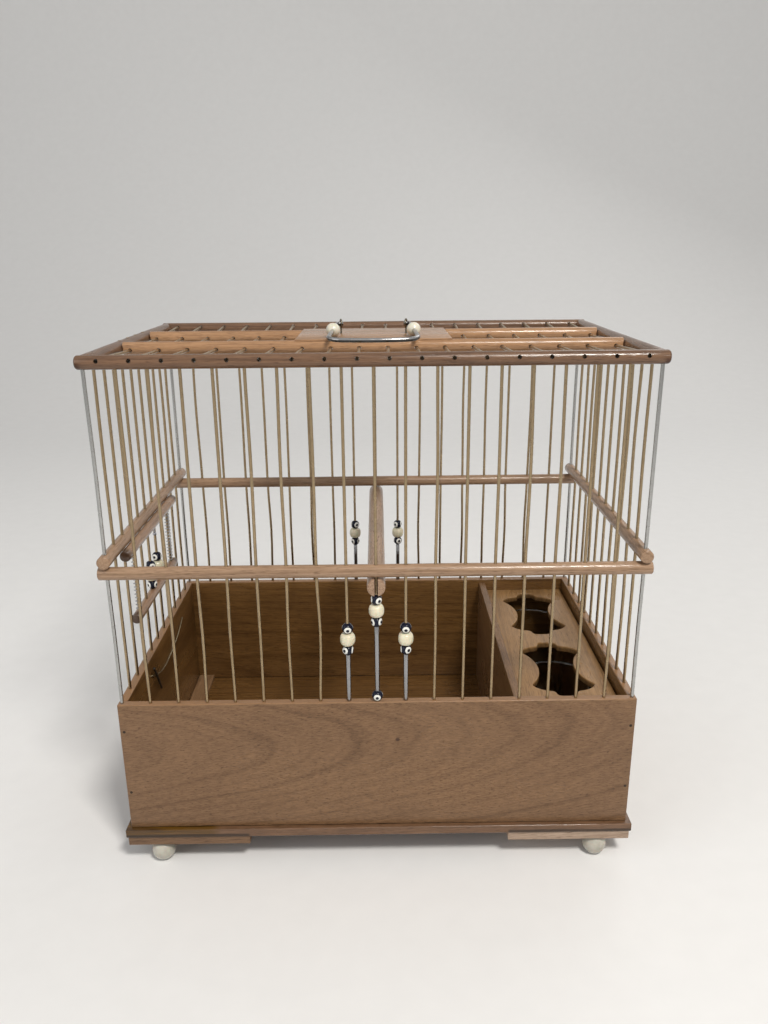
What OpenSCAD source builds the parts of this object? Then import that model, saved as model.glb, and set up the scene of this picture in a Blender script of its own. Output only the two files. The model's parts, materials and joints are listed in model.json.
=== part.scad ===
// Wooden cage for a small singing bird: a beech box, a frame of round dowels, wire walls and a wire roof.
// Origin on the floor, under the middle of the cage. +X is its right, +Y its back, +Z up.

/* [Wire layout] */
// Gaps between the wires across the front, an even number so that one wire stands in the middle
front_gaps = 18; // [14:2:22]
// Distance from wire to wire across the front
front_pitch = 16.7; // [14:0.1:19]
// Gaps between the wires along a side, an odd number so that two wires stand about its middle
side_gaps = 11; // [9:2:13]
// Distance from wire to wire along a side
side_pitch = 16.9; // [14:0.1:19]
// Diameter of the brass wires
wire_d = 1.8; // [1.4:0.1:2.2]
// Diameter of the four steel corner wires
corner_wire_d = 2.1; // [1.6:0.1:2.6]
// Depth of the wire holes in the rim of the box
wire_seat = 8; // [5:1:15]

/* [Heights] */
// Gap between the perch, which stands on the middle bead stacks, and the front and back mid dowels
perch_room = 0.25; // [0.2:0.05:20]
// From the front mid dowel to the front top dowel
upper_storey = 117; // [70:1:160]
// Height of the middle of the roof wires above the middle of the top dowels
roof_wire_rise = 1; // [0:0.1:1.5]
// How far the ends of the roof wires stay back in their holes
roof_wire_recess = 1.5; // [0.5:0.1:3]

/* [Dowels] */
// Diameter of the frame dowels and roof bars
dowel_d = 7.5; // [6.5:0.5:9]
// How far the mid dowels run past the corner wires
mid_overhang = 4.5; // [3:0.5:8]
// How far the front and back top dowels run past the corner wires
top_overhang = 3.5; // [3:0.5:8]

/* [Box] */
// Height of the four boards
box_h = 85.5; // [60:0.5:110]
// Thickness of the boards and of the partition
board_t = 5; // [4:0.5:8]
// Thickness of the base board
base_t = 5.5; // [4:0.5:9]
// How far the base board stands out from the box on each side
base_lip = 3; // [1:0.5:8]
// Thickness of the skids
skid_t = 6; // [4:0.5:10]
// Width of a skid
skid_w = 75; // [40:1:100]
// How far a skid stays back from the edge of the base board
skid_inset = 1; // [0:0.5:4]
// Diameter of the ball feet
foot_d = 14.6; // [10:0.1:20]
// Depth of the flats at the top and bottom of a ball foot
foot_flat = 0.3; // [0.2:0.1:0.8]
// From the middle of a ball foot to the side of the base board
foot_inset = 20.5; // [12:0.5:34]
// Diameter of the screws in the ball feet
foot_screw_d = 3; // [2:0.5:4]
// Diameter of the brads
brad_d = 1.4; // [1:0.1:2]
// Length of the brads
brad_len = 16; // [12:1:25]
// Depth of the upper and of the lower brads below the rim
brad_drops = [18, 60];
// Width of the lath on the floor
lath_w = 12; // [6:1:20]
// Thickness of the lath on the floor
lath_t = 3; // [2:0.5:6]

/* [Food compartment] */
// Inner width of the food compartment
food_w = 61.3; // [58:0.1:75]
// How far the partition stays below the rim
partition_drop = 3; // [1:0.5:8]
// How far the top of the cover plate stays below the rim
cover_drop = 9; // [7:0.5:20]
// Thickness of the cover plate
cover_t = 4; // [3:0.5:6]
// Gap between the cover plate and the right board
cover_gap = 1.2; // [0.5:0.1:3]
// Width of a scroll cut-out
scroll_w = 40; // [30:1:44]
// Length of a scroll cut-out
scroll_len = 73; // [60:1:76]
// Distance between the middles of the two cut-outs
scroll_step = 85; // [80:1:88]
// Outer diameter of a glass jar
jar_d = 50; // [40:1:51]
// Gap between the rim of a jar and the cover plate
jar_room = 3.46; // [0.5:0.02:30]
// Wall of a glass jar
jar_wall = 2.4; // [1.6:0.1:4]

/* [Perch and beads] */
// Diameter of the perch
perch_d = 10.4; // [8:0.1:12]
// How far the perch runs past the centre wires
perch_overhang = 4; // [3:0.5:8]
// Diameter of the steel tubes
tube_d = 2.8; // [2.6:0.1:3.6]
// Length of the tubes under the perch
centre_tube_len = 41.5; // [34:0.5:60]
// Length of the tubes in the side stacks
side_tube_len = 30; // [15:0.5:36]
// Diameter of the eye beads
eye_d = 6.5; // [5:0.1:7]
// Diameter of the cream beads
cream_d = 9; // [8:0.1:11]
// Height of the cream beads
cream_h = 7.3; // [6:0.1:8]
// Hole through the beads and tubes
bead_bore = 2; // [2:0.05:2.3]

/* [Side gate] */
// From the rim of the box to the middle of the gate rail, when shut
gate_rail_rise = 34; // [24:1:40]
// Diameter of the gate rail and of the stop bar
gate_rail_d = 6.4; // [6:0.1:8]
// How far the gate rail runs past its guide wires
gate_rail_end = 8; // [5:1:10]
// How deep the gate wires stand in the rim when shut
gate_wire_seat = 3; // [1:0.5:5]
// Diameter of the spring wire
spring_wire_d = 0.7; // [0.5:0.1:0.8]
// Radius of the springs, from their middle to the middle of the spring wire
spring_r = 1.6; // [1.4:0.05:1.7]
// Number of curls in a spring
spring_curls = 20; // [12:1:24]
// Sideways distance from the left mid dowel to the stop bar
stop_bar_aside = 5.6; // [5.4:0.1:6]
// Length of the stop bar
stop_bar_len = 116; // [90:1:118]
// Diameter of the balls of the two pins
ball_pin_d = 2.4; // [2:0.1:3]
// Bare length of the two pins
ball_pin_neck = 4; // [2:0.5:5]

/* [Left board fittings] */
// Diameter of the thin wire on the left board
catch_wire_d = 0.9; // [0.6:0.1:1.4]
// Length of the thin wire from end to end
catch_span = 89; // [60:1:100]
// How far the thin wire hangs down in its middle
catch_sag = 10; // [6:1:16]
// Depth of its ends below the rim
catch_drop = 11; // [8:1:20]
// Length of the dark pin
catch_pin_len = 25; // [15:1:30]
// Diameter of the dark pin
catch_pin_d = 1.5; // [1:0.1:2]

/* [Handle] */
// Length of the handle board
handle_board_len = 92; // [70:1:130]
// Height of the handle board above the roof bars
handle_board_rise = 0.5; // [0.3:0.1:2]
// Thickness of the handle board
handle_board_t = 6.6; // [6.3:0.1:8]
// Diameter of the bail rod
rod_d = 2.6; // [2:0.1:3]
// Distance between the two ends of the bail, to the middle of its rod
bail_foot_w = 45; // [40:1:50]
// Width of the bail at its grip, to the middle of its rod
bail_grip_w = 51; // [50:1:60]
// Reach of the bail from its axis to the middle of its grip
bail_reach = 54; // [46:1:58]
// Radius of the bends beside the grip
bail_bend_r = 9; // [6:0.5:14]
// Distance from the axis to the beads on the bail
bead_reach = 22; // [18:1:26]
// Height of the bail's axis above the handle board
bail_axis_rise = 6; // [5.9:0.1:8]
// Diameter of the beads on the bail
handle_bead_d = 8.4; // [8:0.1:10]
// Wire diameter of the screw eyes
eye_wire_d = 1.4; // [1:0.1:1.8]
// Room in the screw eyes around the rod
eye_room = 0.35; // [0.2:0.05:0.6]
// Length of the screw eyes in the board
eye_screw_len = 5; // [3:0.5:6]

/* [Fits] */
// Room around a glued wire, pin or bead
fit = 0.05; // [0.02:0.01:0.1]
// Room around a wire that slides
slide_fit = 0.1; // [0.05:0.01:0.15]
// Room between pieces that only touch
touch = 0.04; // [0.02:0.01:0.1]
// Room around loose pieces such as the cover plate
loose = 0.4; // [0.3:0.1:0.8]

/* [Hidden] */
$fn = 48;

width = front_gaps * front_pitch;
depth = side_gaps * side_pitch;
dowel_r = dowel_d / 2;

foot_h = foot_d - 2 * foot_flat;
skid_z = foot_h;
base_z = skid_z + skid_t;
floor_z = base_z + base_t;
rim_z = floor_z + box_h;
bead_bore_r = bead_bore / 2;
eye_h = 2 * sqrt(pow(eye_d / 2, 2) - pow(bead_bore_r, 2));
centre_stack_h = centre_tube_len + 3 * eye_h + cream_h + 4 * touch;
perch_z = rim_z + touch + centre_stack_h + touch + perch_d / 2;
mid_z = perch_z + perch_d / 2 + perch_room + dowel_r;
side_mid_z = mid_z + dowel_d + touch;
top_z = mid_z + upper_storey;
roof_z = top_z + dowel_r;
wire_top_z = top_z + 1;
roof_wire_z = top_z + roof_wire_rise;
hole_end = 0.2;

box_x = width / 2 + board_t / 2;
box_y = depth / 2 + board_t / 2;
inner_x = width / 2 - board_t / 2;
inner_y = depth / 2 - board_t / 2;
base_x = box_x + base_lip;
base_y = box_y + base_lip;
skid_x = base_x - skid_inset;
skid_y = base_y - skid_inset;
foot_x = base_x - foot_inset;
foot_y = depth / 2 - 2;

function front_x(k) = (k - front_gaps / 2) * front_pitch;
function side_y(n) = (n - side_gaps / 2) * side_pitch;
centre_k = front_gaps / 2;

partition_x = inner_x - food_w - board_t;
cover_z = rim_z - cover_drop - cover_t;
jar_h = cover_z - floor_z - touch - jar_room;
cleat_w = 3.5;
cleat_h = 2.6;
scroll_x = inner_x - food_w / 2;
scroll_y = 3;

side_stack_z = rim_z + touch;
kerf_depth = perch_overhang + 2.5;

gate_mid = (side_gaps - 1) / 2;
gate_from = gate_mid - 2;
gate_to = gate_mid + 3;
gate_x = -width / 2;
gate_rail_z = rim_z + gate_rail_rise;
gate_rail_top = gate_rail_z + gate_rail_d / 2;
gate_wire_top = roof_z + 0.3;
stop_bar_r = gate_rail_d / 2;
stop_bar_reach = dowel_r + stop_bar_r + touch;
stop_bar_x = gate_x + stop_bar_aside;
stop_bar_z = side_mid_z - sqrt(pow(stop_bar_reach, 2) - pow(stop_bar_aside, 2));
spring_low_z = gate_rail_top + touch;
spring_top_z = side_mid_z - dowel_r - touch;

bar_y = depth / 6;
handle_board_top = roof_z + handle_board_rise;
handle_board_y = bar_y + 2.2;
rod_r = rod_d / 2;
eye_ring_r = rod_r + eye_room + eye_wire_d / 2;
bail_axis_z = handle_board_top + bail_axis_rise;
bail_foot_x = bail_foot_w / 2;
bail_bend_x = bail_grip_w / 2 - bail_bend_r;
bail_bend_y = bail_reach - bail_bend_r;
handle_eye_x = bail_foot_x - rod_r - 0.4 - eye_wire_d / 2;
bail_end = 4.2;
bend_reach = norm([bail_bend_x - bail_foot_x, bail_bend_y]);
bail_flare = atan2(bail_bend_x - bail_foot_x, bail_bend_y) + asin(bail_bend_r / bend_reach);
bail_arm = sqrt(pow(bend_reach, 2) - pow(bail_bend_r, 2));
foot_bend_r = 2;
foot_tangent = foot_bend_r * tan((90 - bail_flare) / 2);
bend_d = rod_d - 0.1;
bend_sides = 24;
bend_steps = 10;
bend_root = 0.4;
bail_rest = asin((bail_axis_rise - handle_bead_d / 2 - touch) / (bead_reach * cos(bail_flare)));

wood = "burlywood";
dark_wood = "peru";
brass = "darkkhaki";
steel = "silver";
cream = "ivory";
navy = "midnightblue";

// Shapes that several pieces share

// Rod along Z, from z0 to z1
module rod_z(d, z0, z1) {
    translate([0, 0, z0]) cylinder(d = d, h = z1 - z0);
}

// Rod along X, centred
module rod_x(d, len) {
    rotate([0, 90, 0]) cylinder(d = d, h = len, center = true);
}

// Rod along Y, centred
module rod_y(d, len) {
    rotate([90, 0, 0]) cylinder(d = d, h = len, center = true);
}

// Closed tube through a row of rings, whose points run clockwise seen along the tube
module swept(rings) {
    n = len(rings[0]);
    last = (len(rings) - 1) * n;
    sides = [for (i = [0 : len(rings) - 2]) for (s = [0 : n - 1])
        let (a = i * n + s, b = i * n + (s + 1) % n)
        each [[a, b + n, b], [a, a + n, b + n]]];
    low_cap = [for (s = [1 : n - 2]) [0, s, s + 1]];
    high_cap = [for (s = [1 : n - 2]) [last, last + s + 1, last + s]];
    polyhedron(points = [for (ring = rings) each ring], faces = concat(sides, low_cap, high_cap));
}

// Places its children at each front wire from first to last, at the front or back
module at_front_wires(first, last, y) {
    for (k = [first : last]) translate([front_x(k), y, 0]) children();
}

// Places its children at each side wire from first to last
module at_side_wires(first, last, x) {
    for (n = [first : last]) translate([x, side_y(n), 0]) children();
}

// Places its children at the four corner wires
module at_corners() {
    for (x = [-width / 2, width / 2]) for (y = [-depth / 2, depth / 2]) translate([x, y, 0]) children();
}

// Bead with the shape of a ball, its lower rim at z = 0
module eye_bead() {
    translate([0, 0, eye_h / 2]) difference() {
        sphere(d = eye_d);
        rod_z(bead_bore, -eye_d, eye_d);
    }
}

// Ball bead with its ends cut flat, its lower end at z = 0
module cream_bead() {
    difference() {
        translate([0, 0, cream_h / 2]) intersection() {
            sphere(d = cream_d);
            cube([cream_d + 2, cream_d + 2, cream_h], center = true);
        }
        rod_z(bead_bore, -1, cream_h + 1);
    }
}

// Steel tube, its lower end at z = 0
module steel_tube(len) {
    difference() {
        rod_z(tube_d, 0, len);
        rod_z(bead_bore, -1, len + 1);
    }
}

// Heights of the beads over a tube of the given length
function low_eye_z(len) = len + touch;
function cream_z(len) = low_eye_z(len) + eye_h + touch;
function high_eye_z(len) = cream_z(len) + cream_h + touch;

// Side stack, beside the centre wire: side is -1 or 1, wall is -1 at the front and 1 at the back
module at_side_stack(side, wall) {
    translate([front_x(centre_k + side), wall * depth / 2, side_stack_z]) children();
}

// Base and feet

module base_board() {
    core_x = 2 * base_x - base_t;
    core_y = 2 * base_y - base_t;
    color(wood) translate([0, 0, base_z + base_t / 2]) difference() {
        union() {
            cube([core_x, core_y, base_t], center = true);
            for (y = [-core_y / 2, core_y / 2]) translate([0, y, 0]) rod_x(base_t, core_x);
            for (x = [-core_x / 2, core_x / 2]) translate([x, 0, 0]) rod_y(base_t, core_y);
            for (x = [-core_x / 2, core_x / 2]) for (y = [-core_y / 2, core_y / 2])
                translate([x, y, 0]) sphere(d = base_t);
        }
        at_feet() rod_z(foot_screw_d + 2 * fit, -base_t, -base_t / 2 + 2.2);
    }
}

module at_feet() {
    for (x = [-foot_x, foot_x]) for (y = [-foot_y, foot_y]) translate([x, y, 0]) children();
}

module skid(side) {
    color(wood) difference() {
        translate([side * (skid_x - skid_w / 2), 0, skid_z + skid_t / 2])
            cube([skid_w, 2 * skid_y, skid_t], center = true);
        at_feet() rod_z(foot_screw_d + 2 * fit, 0, base_z + 1);
    }
}
module left_skid() { skid(-1); }
module right_skid() { skid(1); }

foot_screw_low = foot_h - 9;
module ball_feet() {
    color(cream) at_feet() difference() {
        translate([0, 0, foot_h / 2]) intersection() {
            sphere(d = foot_d, $fn = 64);
            cube([foot_d + 1, foot_d + 1, foot_h], center = true);
        }
        rod_z(foot_screw_d + 2 * fit, foot_screw_low - hole_end, foot_h + 1);
    }
}

module foot_screws() {
    color(steel) at_feet() rod_z(foot_screw_d, foot_screw_low, base_z + 2);
}

// Box

// Holes for the brads, or the brads themselves
module at_brads() {
    for (x = [-width / 2, width / 2]) for (wall = [-1, 1]) for (drop = brad_drops)
        translate([x, wall * box_y, rim_z - drop]) rotate([90 * wall, 0, 0]) children();
}

module long_board(wall) {
    difference() {
        translate([0, wall * depth / 2, floor_z + box_h / 2 + touch / 2])
            cube([2 * box_x, board_t, box_h - touch], center = true);
        at_front_wires(1, front_gaps - 1, wall * depth / 2)
            rod_z(wire_d + 2 * fit, rim_z - wire_seat - hole_end, rim_z + 1);
        at_corners() rod_z(corner_wire_d + 2 * fit, rim_z - wire_seat - hole_end, rim_z + 1);
        at_brads() rod_z(brad_d + 2 * fit, -1, brad_len + hole_end);
    }
}
module front_board() { color(wood) long_board(-1); }
module back_board() { color(wood) long_board(1); }

module short_board(side) {
    translate([side * width / 2, 0, floor_z + box_h / 2 + touch / 2])
        cube([board_t, 2 * inner_y - 2 * touch, box_h - touch], center = true);
}
module left_board() {
    color(wood) difference() {
        short_board(-1);
        at_side_wires(1, gate_from, gate_x) rim_hole(wire_seat, fit);
        at_side_wires(gate_from + 1, gate_to - 1, gate_x) rim_hole(gate_wire_seat, 2 * slide_fit);
        at_side_wires(gate_to, side_gaps - 1, gate_x) rim_hole(wire_seat, fit);
        at_brads() rod_z(brad_d + 2 * fit, -1, brad_len + hole_end);
        at_catch_ends() rotate([0, -90, 0]) rod_z(catch_wire_d + 2 * fit, -1, 2.5 + hole_end);
    }
}
module right_board() {
    color(wood) difference() {
        short_board(1);
        at_side_wires(1, side_gaps - 1, width / 2) rim_hole(wire_seat, fit);
        at_brads() rod_z(brad_d + 2 * fit, -1, brad_len + hole_end);
    }
}
module rim_hole(deep, room) {
    rod_z(wire_d + 2 * room, rim_z - deep - hole_end, rim_z + 1);
}

module board_brads() {
    color(steel) at_brads() rod_z(brad_d, 0.1, brad_len);
}

module floor_lath() {
    color(wood) translate([-inner_x + touch, -inner_y + touch, floor_z + touch])
        cube([lath_w, 2 * inner_y - 2 * touch, lath_t]);
}

// Food compartment

module partition_board() {
    top = rim_z - partition_drop - board_t / 2;
    len = 2 * inner_y - 2 * touch;
    color(wood) {
        translate([partition_x, -len / 2, floor_z + touch]) cube([board_t, len, top - floor_z - touch]);
        translate([partition_x + board_t / 2, 0, top]) rod_y(board_t, len);
    }
}

module cover_cleats() {
    len = 2 * inner_y - 2 * loose;
    low = cover_z - touch - cleat_h;
    color(wood) {
        translate([partition_x + board_t + touch, -len / 2, low]) cube([cleat_w, len, cleat_h]);
        translate([inner_x - touch - cleat_w, -len / 2, low]) cube([cleat_w, len, cleat_h]);
    }
}

// Quarter of the scroll's outline, for a cut-out of half width and half length 1
scroll_quarter = [[0, 1], [0.3, 0.985], [0.36, 0.82], [0.84, 0.79], [1, 0.62], [0.6, 0]];
module scroll_outline() {
    x = scroll_w / 2;
    y = scroll_len / 2;
    quarter = [for (p = scroll_quarter) [p[0] * x, p[1] * y]];
    offset(r = 2) offset(r = -2) offset(r = -1.5) offset(r = 1.5)
        for (sx = [0, 1]) for (sy = [0, 1]) mirror([sx, 0]) mirror([0, sy])
            polygon(concat([[0, 0]], quarter), $fn = 32);
}
module at_scrolls() {
    for (side = [-1, 1]) translate([scroll_x, scroll_y + side * scroll_step / 2, 0]) children();
}

module cover_plate() {
    low_x = partition_x + board_t + loose;
    high_x = inner_x - cover_gap;
    y = inner_y - loose;
    color(wood) translate([0, 0, cover_z]) linear_extrude(cover_t) difference() {
        translate([low_x, -y]) square([high_x - low_x, 2 * y]);
        at_scrolls() scroll_outline($fn = 32);
    }
}

// Glass jar on the floor, with a rolled rim
module jar(y) {
    rim_r = 0.8 * jar_wall;
    color("lightcyan", 0.5) translate([scroll_x, y, floor_z + touch]) difference() {
        union() {
            rod_z(jar_d - 1, 0, jar_h - rim_r);
            translate([0, 0, jar_h - rim_r]) rotate_extrude()
                translate([jar_d / 2 - rim_r, 0]) circle(r = rim_r);
        }
        rod_z(jar_d - 2 * jar_wall, 3, jar_h + 1);
    }
}
module front_jar() { jar(scroll_y - scroll_step / 2); }
module rear_jar() { jar(scroll_y + scroll_step / 2); }

// Dowels

mid_dowel_len = width + 2 * mid_overhang;
module long_mid_dowel(y) {
    color(wood) difference() {
        translate([0, y, mid_z]) rod_x(dowel_d, mid_dowel_len);
        at_front_wires(1, front_gaps - 1, y) rod_z(wire_d + 2 * fit, mid_z - dowel_d, mid_z + dowel_d);
        at_corners() rod_z(corner_wire_d + 2 * fit, mid_z - dowel_d, mid_z + dowel_d);
    }
}
module front_mid_dowel() { long_mid_dowel(-depth / 2); }
module back_mid_dowel() { long_mid_dowel(depth / 2); }

module short_mid_dowel(x) {
    difference() {
        translate([x, 0, side_mid_z]) rod_y(dowel_d, depth + 2 * mid_overhang);
        at_corners() rod_z(corner_wire_d + 2 * fit, side_mid_z - dowel_d, side_mid_z + dowel_d);
        children();
    }
}
module left_mid_dowel() {
    color(wood) short_mid_dowel(gate_x) {
        at_side_wires(1, gate_from, gate_x) dowel_hole(side_mid_z, fit);
        at_side_wires(gate_from + 1, gate_to - 1, gate_x) dowel_hole(side_mid_z, slide_fit);
        at_side_wires(gate_to, side_gaps - 1, gate_x) dowel_hole(side_mid_z, fit);
    }
}
module right_mid_dowel() {
    color(wood) short_mid_dowel(width / 2)
        at_side_wires(1, side_gaps - 1, width / 2) dowel_hole(side_mid_z, fit);
}
// Hole right through a dowel whose middle is at z
module dowel_hole(z, room) {
    rod_z(wire_d + 2 * room, z - dowel_d, z + dowel_d);
}
// Blind hole from below in a top dowel
module blind_hole(d) {
    rod_z(d + 2 * fit, top_z - dowel_d, wire_top_z + hole_end);
}

module roof_wire_holes() {
    for (k = [0 : front_gaps - 1]) translate([front_x(k + 0.5), 0, roof_wire_z])
        rod_y(wire_d + 2 * fit, depth + 3 * dowel_d);
}

module long_top_dowel(y) {
    color(wood) difference() {
        translate([0, y, top_z]) rod_x(dowel_d, width + 2 * top_overhang);
        at_front_wires(1, front_gaps - 1, y) blind_hole(wire_d);
        at_corners() blind_hole(corner_wire_d);
        roof_wire_holes();
    }
}
module front_top_dowel() { long_top_dowel(-depth / 2); }
module back_top_dowel() { long_top_dowel(depth / 2); }

// Side dowel at the top, its ends shaped to the front and back dowel
module short_top_dowel(x) {
    difference() {
        translate([x, 0, top_z]) rod_y(dowel_d, depth);
        for (y = [-depth / 2, depth / 2]) translate([x, y, top_z]) rod_x(dowel_d + 2 * touch, 2 * dowel_d);
        children();
    }
}
module left_top_dowel() {
    color(wood) short_top_dowel(gate_x) {
        at_side_wires(1, gate_from, gate_x) blind_hole(wire_d);
        at_side_wires(gate_from + 1, gate_to - 1, gate_x) dowel_hole(top_z, slide_fit);
        at_side_wires(gate_to, side_gaps - 1, gate_x) blind_hole(wire_d);
    }
}
module right_top_dowel() {
    color(wood) short_top_dowel(width / 2) at_side_wires(1, side_gaps - 1, width / 2) blind_hole(wire_d);
}

module roof_bar(y) {
    color(wood) difference() {
        translate([0, y, top_z]) rod_x(dowel_d, width - dowel_d - 2 * touch);
        roof_wire_holes();
    }
}
module front_roof_bar() { roof_bar(-bar_y); }
module rear_roof_bar() { roof_bar(bar_y); }

module handle_board() {
    low = handle_board_top - handle_board_t;
    kerf = wire_d + 2 * slide_fit;
    color(wood) difference() {
        translate([-handle_board_len / 2, -handle_board_y, low])
            cube([handle_board_len, 2 * handle_board_y, handle_board_t]);
        for (y = [-bar_y, bar_y]) translate([0, y, top_z]) rod_x(dowel_d + 2 * touch, handle_board_len + 2);
        for (k = [0 : front_gaps - 1])
            translate([front_x(k + 0.5) - kerf / 2, -handle_board_y - 1, low - 1])
                cube([kerf, 2 * handle_board_y + 2, roof_wire_z + kerf / 2 - low + 1]);
        for (x = [-handle_eye_x, handle_eye_x]) translate([x, 0, 0])
            rod_z(eye_wire_d + 2 * fit, handle_board_top - eye_screw_len - hole_end, handle_board_top + 1);
    }
}

// Wires

module wall_wire() {
    rod_z(wire_d, rim_z - wire_seat, wire_top_z);
}
module corner_wires() {
    color(steel) at_corners() rod_z(corner_wire_d, rim_z - wire_seat, wire_top_z);
}
module front_wires() { color(brass) at_front_wires(1, front_gaps - 1, -depth / 2) wall_wire(); }
module back_wires() { color(brass) at_front_wires(1, front_gaps - 1, depth / 2) wall_wire(); }
module left_wires() {
    color(brass) {
        at_side_wires(1, gate_from, gate_x) wall_wire();
        at_side_wires(gate_to, side_gaps - 1, gate_x) wall_wire();
    }
}
module right_wires() { color(brass) at_side_wires(1, side_gaps - 1, width / 2) wall_wire(); }
module roof_wires() {
    color(brass) for (k = [0 : front_gaps - 1])
        translate([front_x(k + 0.5), 0, roof_wire_z]) rod_y(wire_d, depth + dowel_d - 2 * roof_wire_recess);
}

// Perch and bead stacks

module perch() {
    kerf = wire_d + 2 * fit;
    color(wood) translate([0, 0, perch_z]) difference() {
        rod_y(perch_d, depth + 2 * perch_overhang);
        for (wall = [-1, 1]) translate([0, wall * (depth / 2 + perch_overhang), 0])
            cube([kerf, 2 * kerf_depth, perch_d + 1], center = true);
    }
}

module at_centre_stacks() {
    for (wall = [-1, 1]) translate([front_x(centre_k), wall * depth / 2, rim_z + touch]) children();
}
centre_tube_z = eye_h + touch;
module centre_tubes() {
    color(steel) at_centre_stacks() translate([0, 0, centre_tube_z]) steel_tube(centre_tube_len);
}
module centre_cream_beads() {
    color(cream) at_centre_stacks() translate([0, 0, centre_tube_z + cream_z(centre_tube_len)]) cream_bead();
}
module centre_eye_beads() {
    color(navy) at_centre_stacks() {
        eye_bead();
        translate([0, 0, centre_tube_z + low_eye_z(centre_tube_len)]) eye_bead();
        translate([0, 0, centre_tube_z + high_eye_z(centre_tube_len)]) eye_bead();
    }
}

module side_tube(side, wall) { color(steel) at_side_stack(side, wall) steel_tube(side_tube_len); }
module side_cream_bead(side, wall) {
    color(cream) at_side_stack(side, wall) translate([0, 0, cream_z(side_tube_len)]) cream_bead();
}
module side_eye_beads(side, wall) {
    color(navy) at_side_stack(side, wall) {
        translate([0, 0, low_eye_z(side_tube_len)]) eye_bead();
        translate([0, 0, high_eye_z(side_tube_len)]) eye_bead();
    }
}
module front_left_tube() { side_tube(-1, -1); }
module front_left_cream_bead() { side_cream_bead(-1, -1); }
module front_left_eye_beads() { side_eye_beads(-1, -1); }
module front_right_tube() { side_tube(1, -1); }
module front_right_cream_bead() { side_cream_bead(1, -1); }
module front_right_eye_beads() { side_eye_beads(1, -1); }
module back_left_tube() { side_tube(-1, 1); }
module back_left_cream_bead() { side_cream_bead(-1, 1); }
module back_left_eye_beads() { side_eye_beads(-1, 1); }
module back_right_tube() { side_tube(1, 1); }
module back_right_cream_bead() { side_cream_bead(1, 1); }
module back_right_eye_beads() { side_eye_beads(1, 1); }

// Side gate: the rail and its wires lift against two springs on the guide wires

module gate_rail() {
    low_y = side_y(gate_from) - gate_rail_end;
    high_y = side_y(gate_to) + gate_rail_end;
    color(dark_wood) difference() {
        translate([gate_x, (low_y + high_y) / 2, gate_rail_z]) rod_y(gate_rail_d, high_y - low_y);
        for (n = [gate_from : gate_to])
            translate([gate_x, side_y(n), 0])
                rod_z(wire_d + 2 * (n == gate_from || n == gate_to ? slide_fit : fit),
                    gate_rail_z - gate_rail_d, gate_rail_z + gate_rail_d);
    }
}
module gate_wires() {
    color(brass) at_side_wires(gate_from + 1, gate_to - 1, gate_x)
        rod_z(wire_d, rim_z - gate_wire_seat, gate_wire_top);
}
module at_gate_stacks() {
    at_side_wires(gate_mid, gate_mid + 1, gate_x) translate([0, 0, gate_rail_top]) children();
}
module gate_cream_beads() {
    color(cream) at_gate_stacks() translate([0, 0, cream_z(0)]) cream_bead();
}
module gate_eye_beads() {
    color(navy) at_gate_stacks() {
        translate([0, 0, low_eye_z(0)]) eye_bead();
        translate([0, 0, high_eye_z(0)]) eye_bead();
    }
}

// Coil spring: rings along a helix, with a straight end of one wire diameter at the top and bottom
curl_rings = 8;
spring_sides = 6;
spring_h = spring_top_z - spring_low_z;
spring_rise = spring_h - 2 * spring_wire_d;
spring_steps = spring_curls * curl_rings;
function helix_point(i) =
    let (a = 90 + 360 * i / curl_rings)
    [spring_r * cos(a), spring_r * sin(a), spring_wire_d + spring_rise * i / spring_steps];
spring_path = concat(
    [[0, spring_r, 0]],
    [for (i = [0 : spring_steps]) helix_point(i)],
    [[0, spring_r, spring_h]]
);
function spring_angle(i) = 90 + 360 * max(0, min(spring_steps, i - 1)) / curl_rings;
function unit(v) = v / norm(v);
function spring_heading(i) =
    let (last = len(spring_path) - 1)
    unit(spring_path[min(last, i + 1)] - spring_path[max(0, i - 1)]);
function spring_ring(i) =
    let (
        outward = [cos(spring_angle(i)), sin(spring_angle(i)), 0],
        heading = spring_heading(i),
        across = unit(cross(heading, outward)),
        out = cross(across, heading)
    )
    [for (s = [0 : spring_sides - 1])
        let (a = 360 * s / spring_sides)
        spring_path[i] + spring_wire_d / 2 * (cos(a) * out + sin(a) * across)];
module spring() { swept([for (i = [0 : len(spring_path) - 1]) spring_ring(i)]); }
module gate_springs() {
    color(steel) for (n = [gate_from, gate_to]) translate([gate_x, side_y(n), spring_low_z]) spring();
}
spring_gap = min([for (i = [0 : spring_steps])
    for (j = [i + curl_rings / 2 : min(spring_steps, i + 2 * curl_rings)])
        norm(helix_point(i) - helix_point(j))]) - spring_wire_d;
echo(least_spring_gap_mm = spring_gap);

// Bar glued under the left mid dowel, inside the wires
stop_bar_y = side_y(1);
module stop_bar() {
    color(dark_wood) difference() {
        translate([stop_bar_x, stop_bar_y + stop_bar_len / 2, stop_bar_z]) rod_y(gate_rail_d, stop_bar_len);
        at_ball_pins() rod_z(ball_pin_shank_d + 2 * fit, -stop_bar_r, ball_pin_hold + hole_end);
    }
}
ball_pin_shank_d = 1;
ball_pin_hold = 4;
module at_ball_pins() {
    for (n = [gate_mid, gate_mid + 1])
        translate([stop_bar_x, side_y(n) - 3, stop_bar_z - stop_bar_r]) children();
}
module stop_bar_pins() {
    color("dimgray") at_ball_pins() {
        rod_z(ball_pin_shank_d, -ball_pin_neck - ball_pin_d / 2, ball_pin_hold);
        translate([0, 0, -ball_pin_neck - ball_pin_d / 2]) sphere(d = ball_pin_d, $fn = 24);
    }
}

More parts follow.
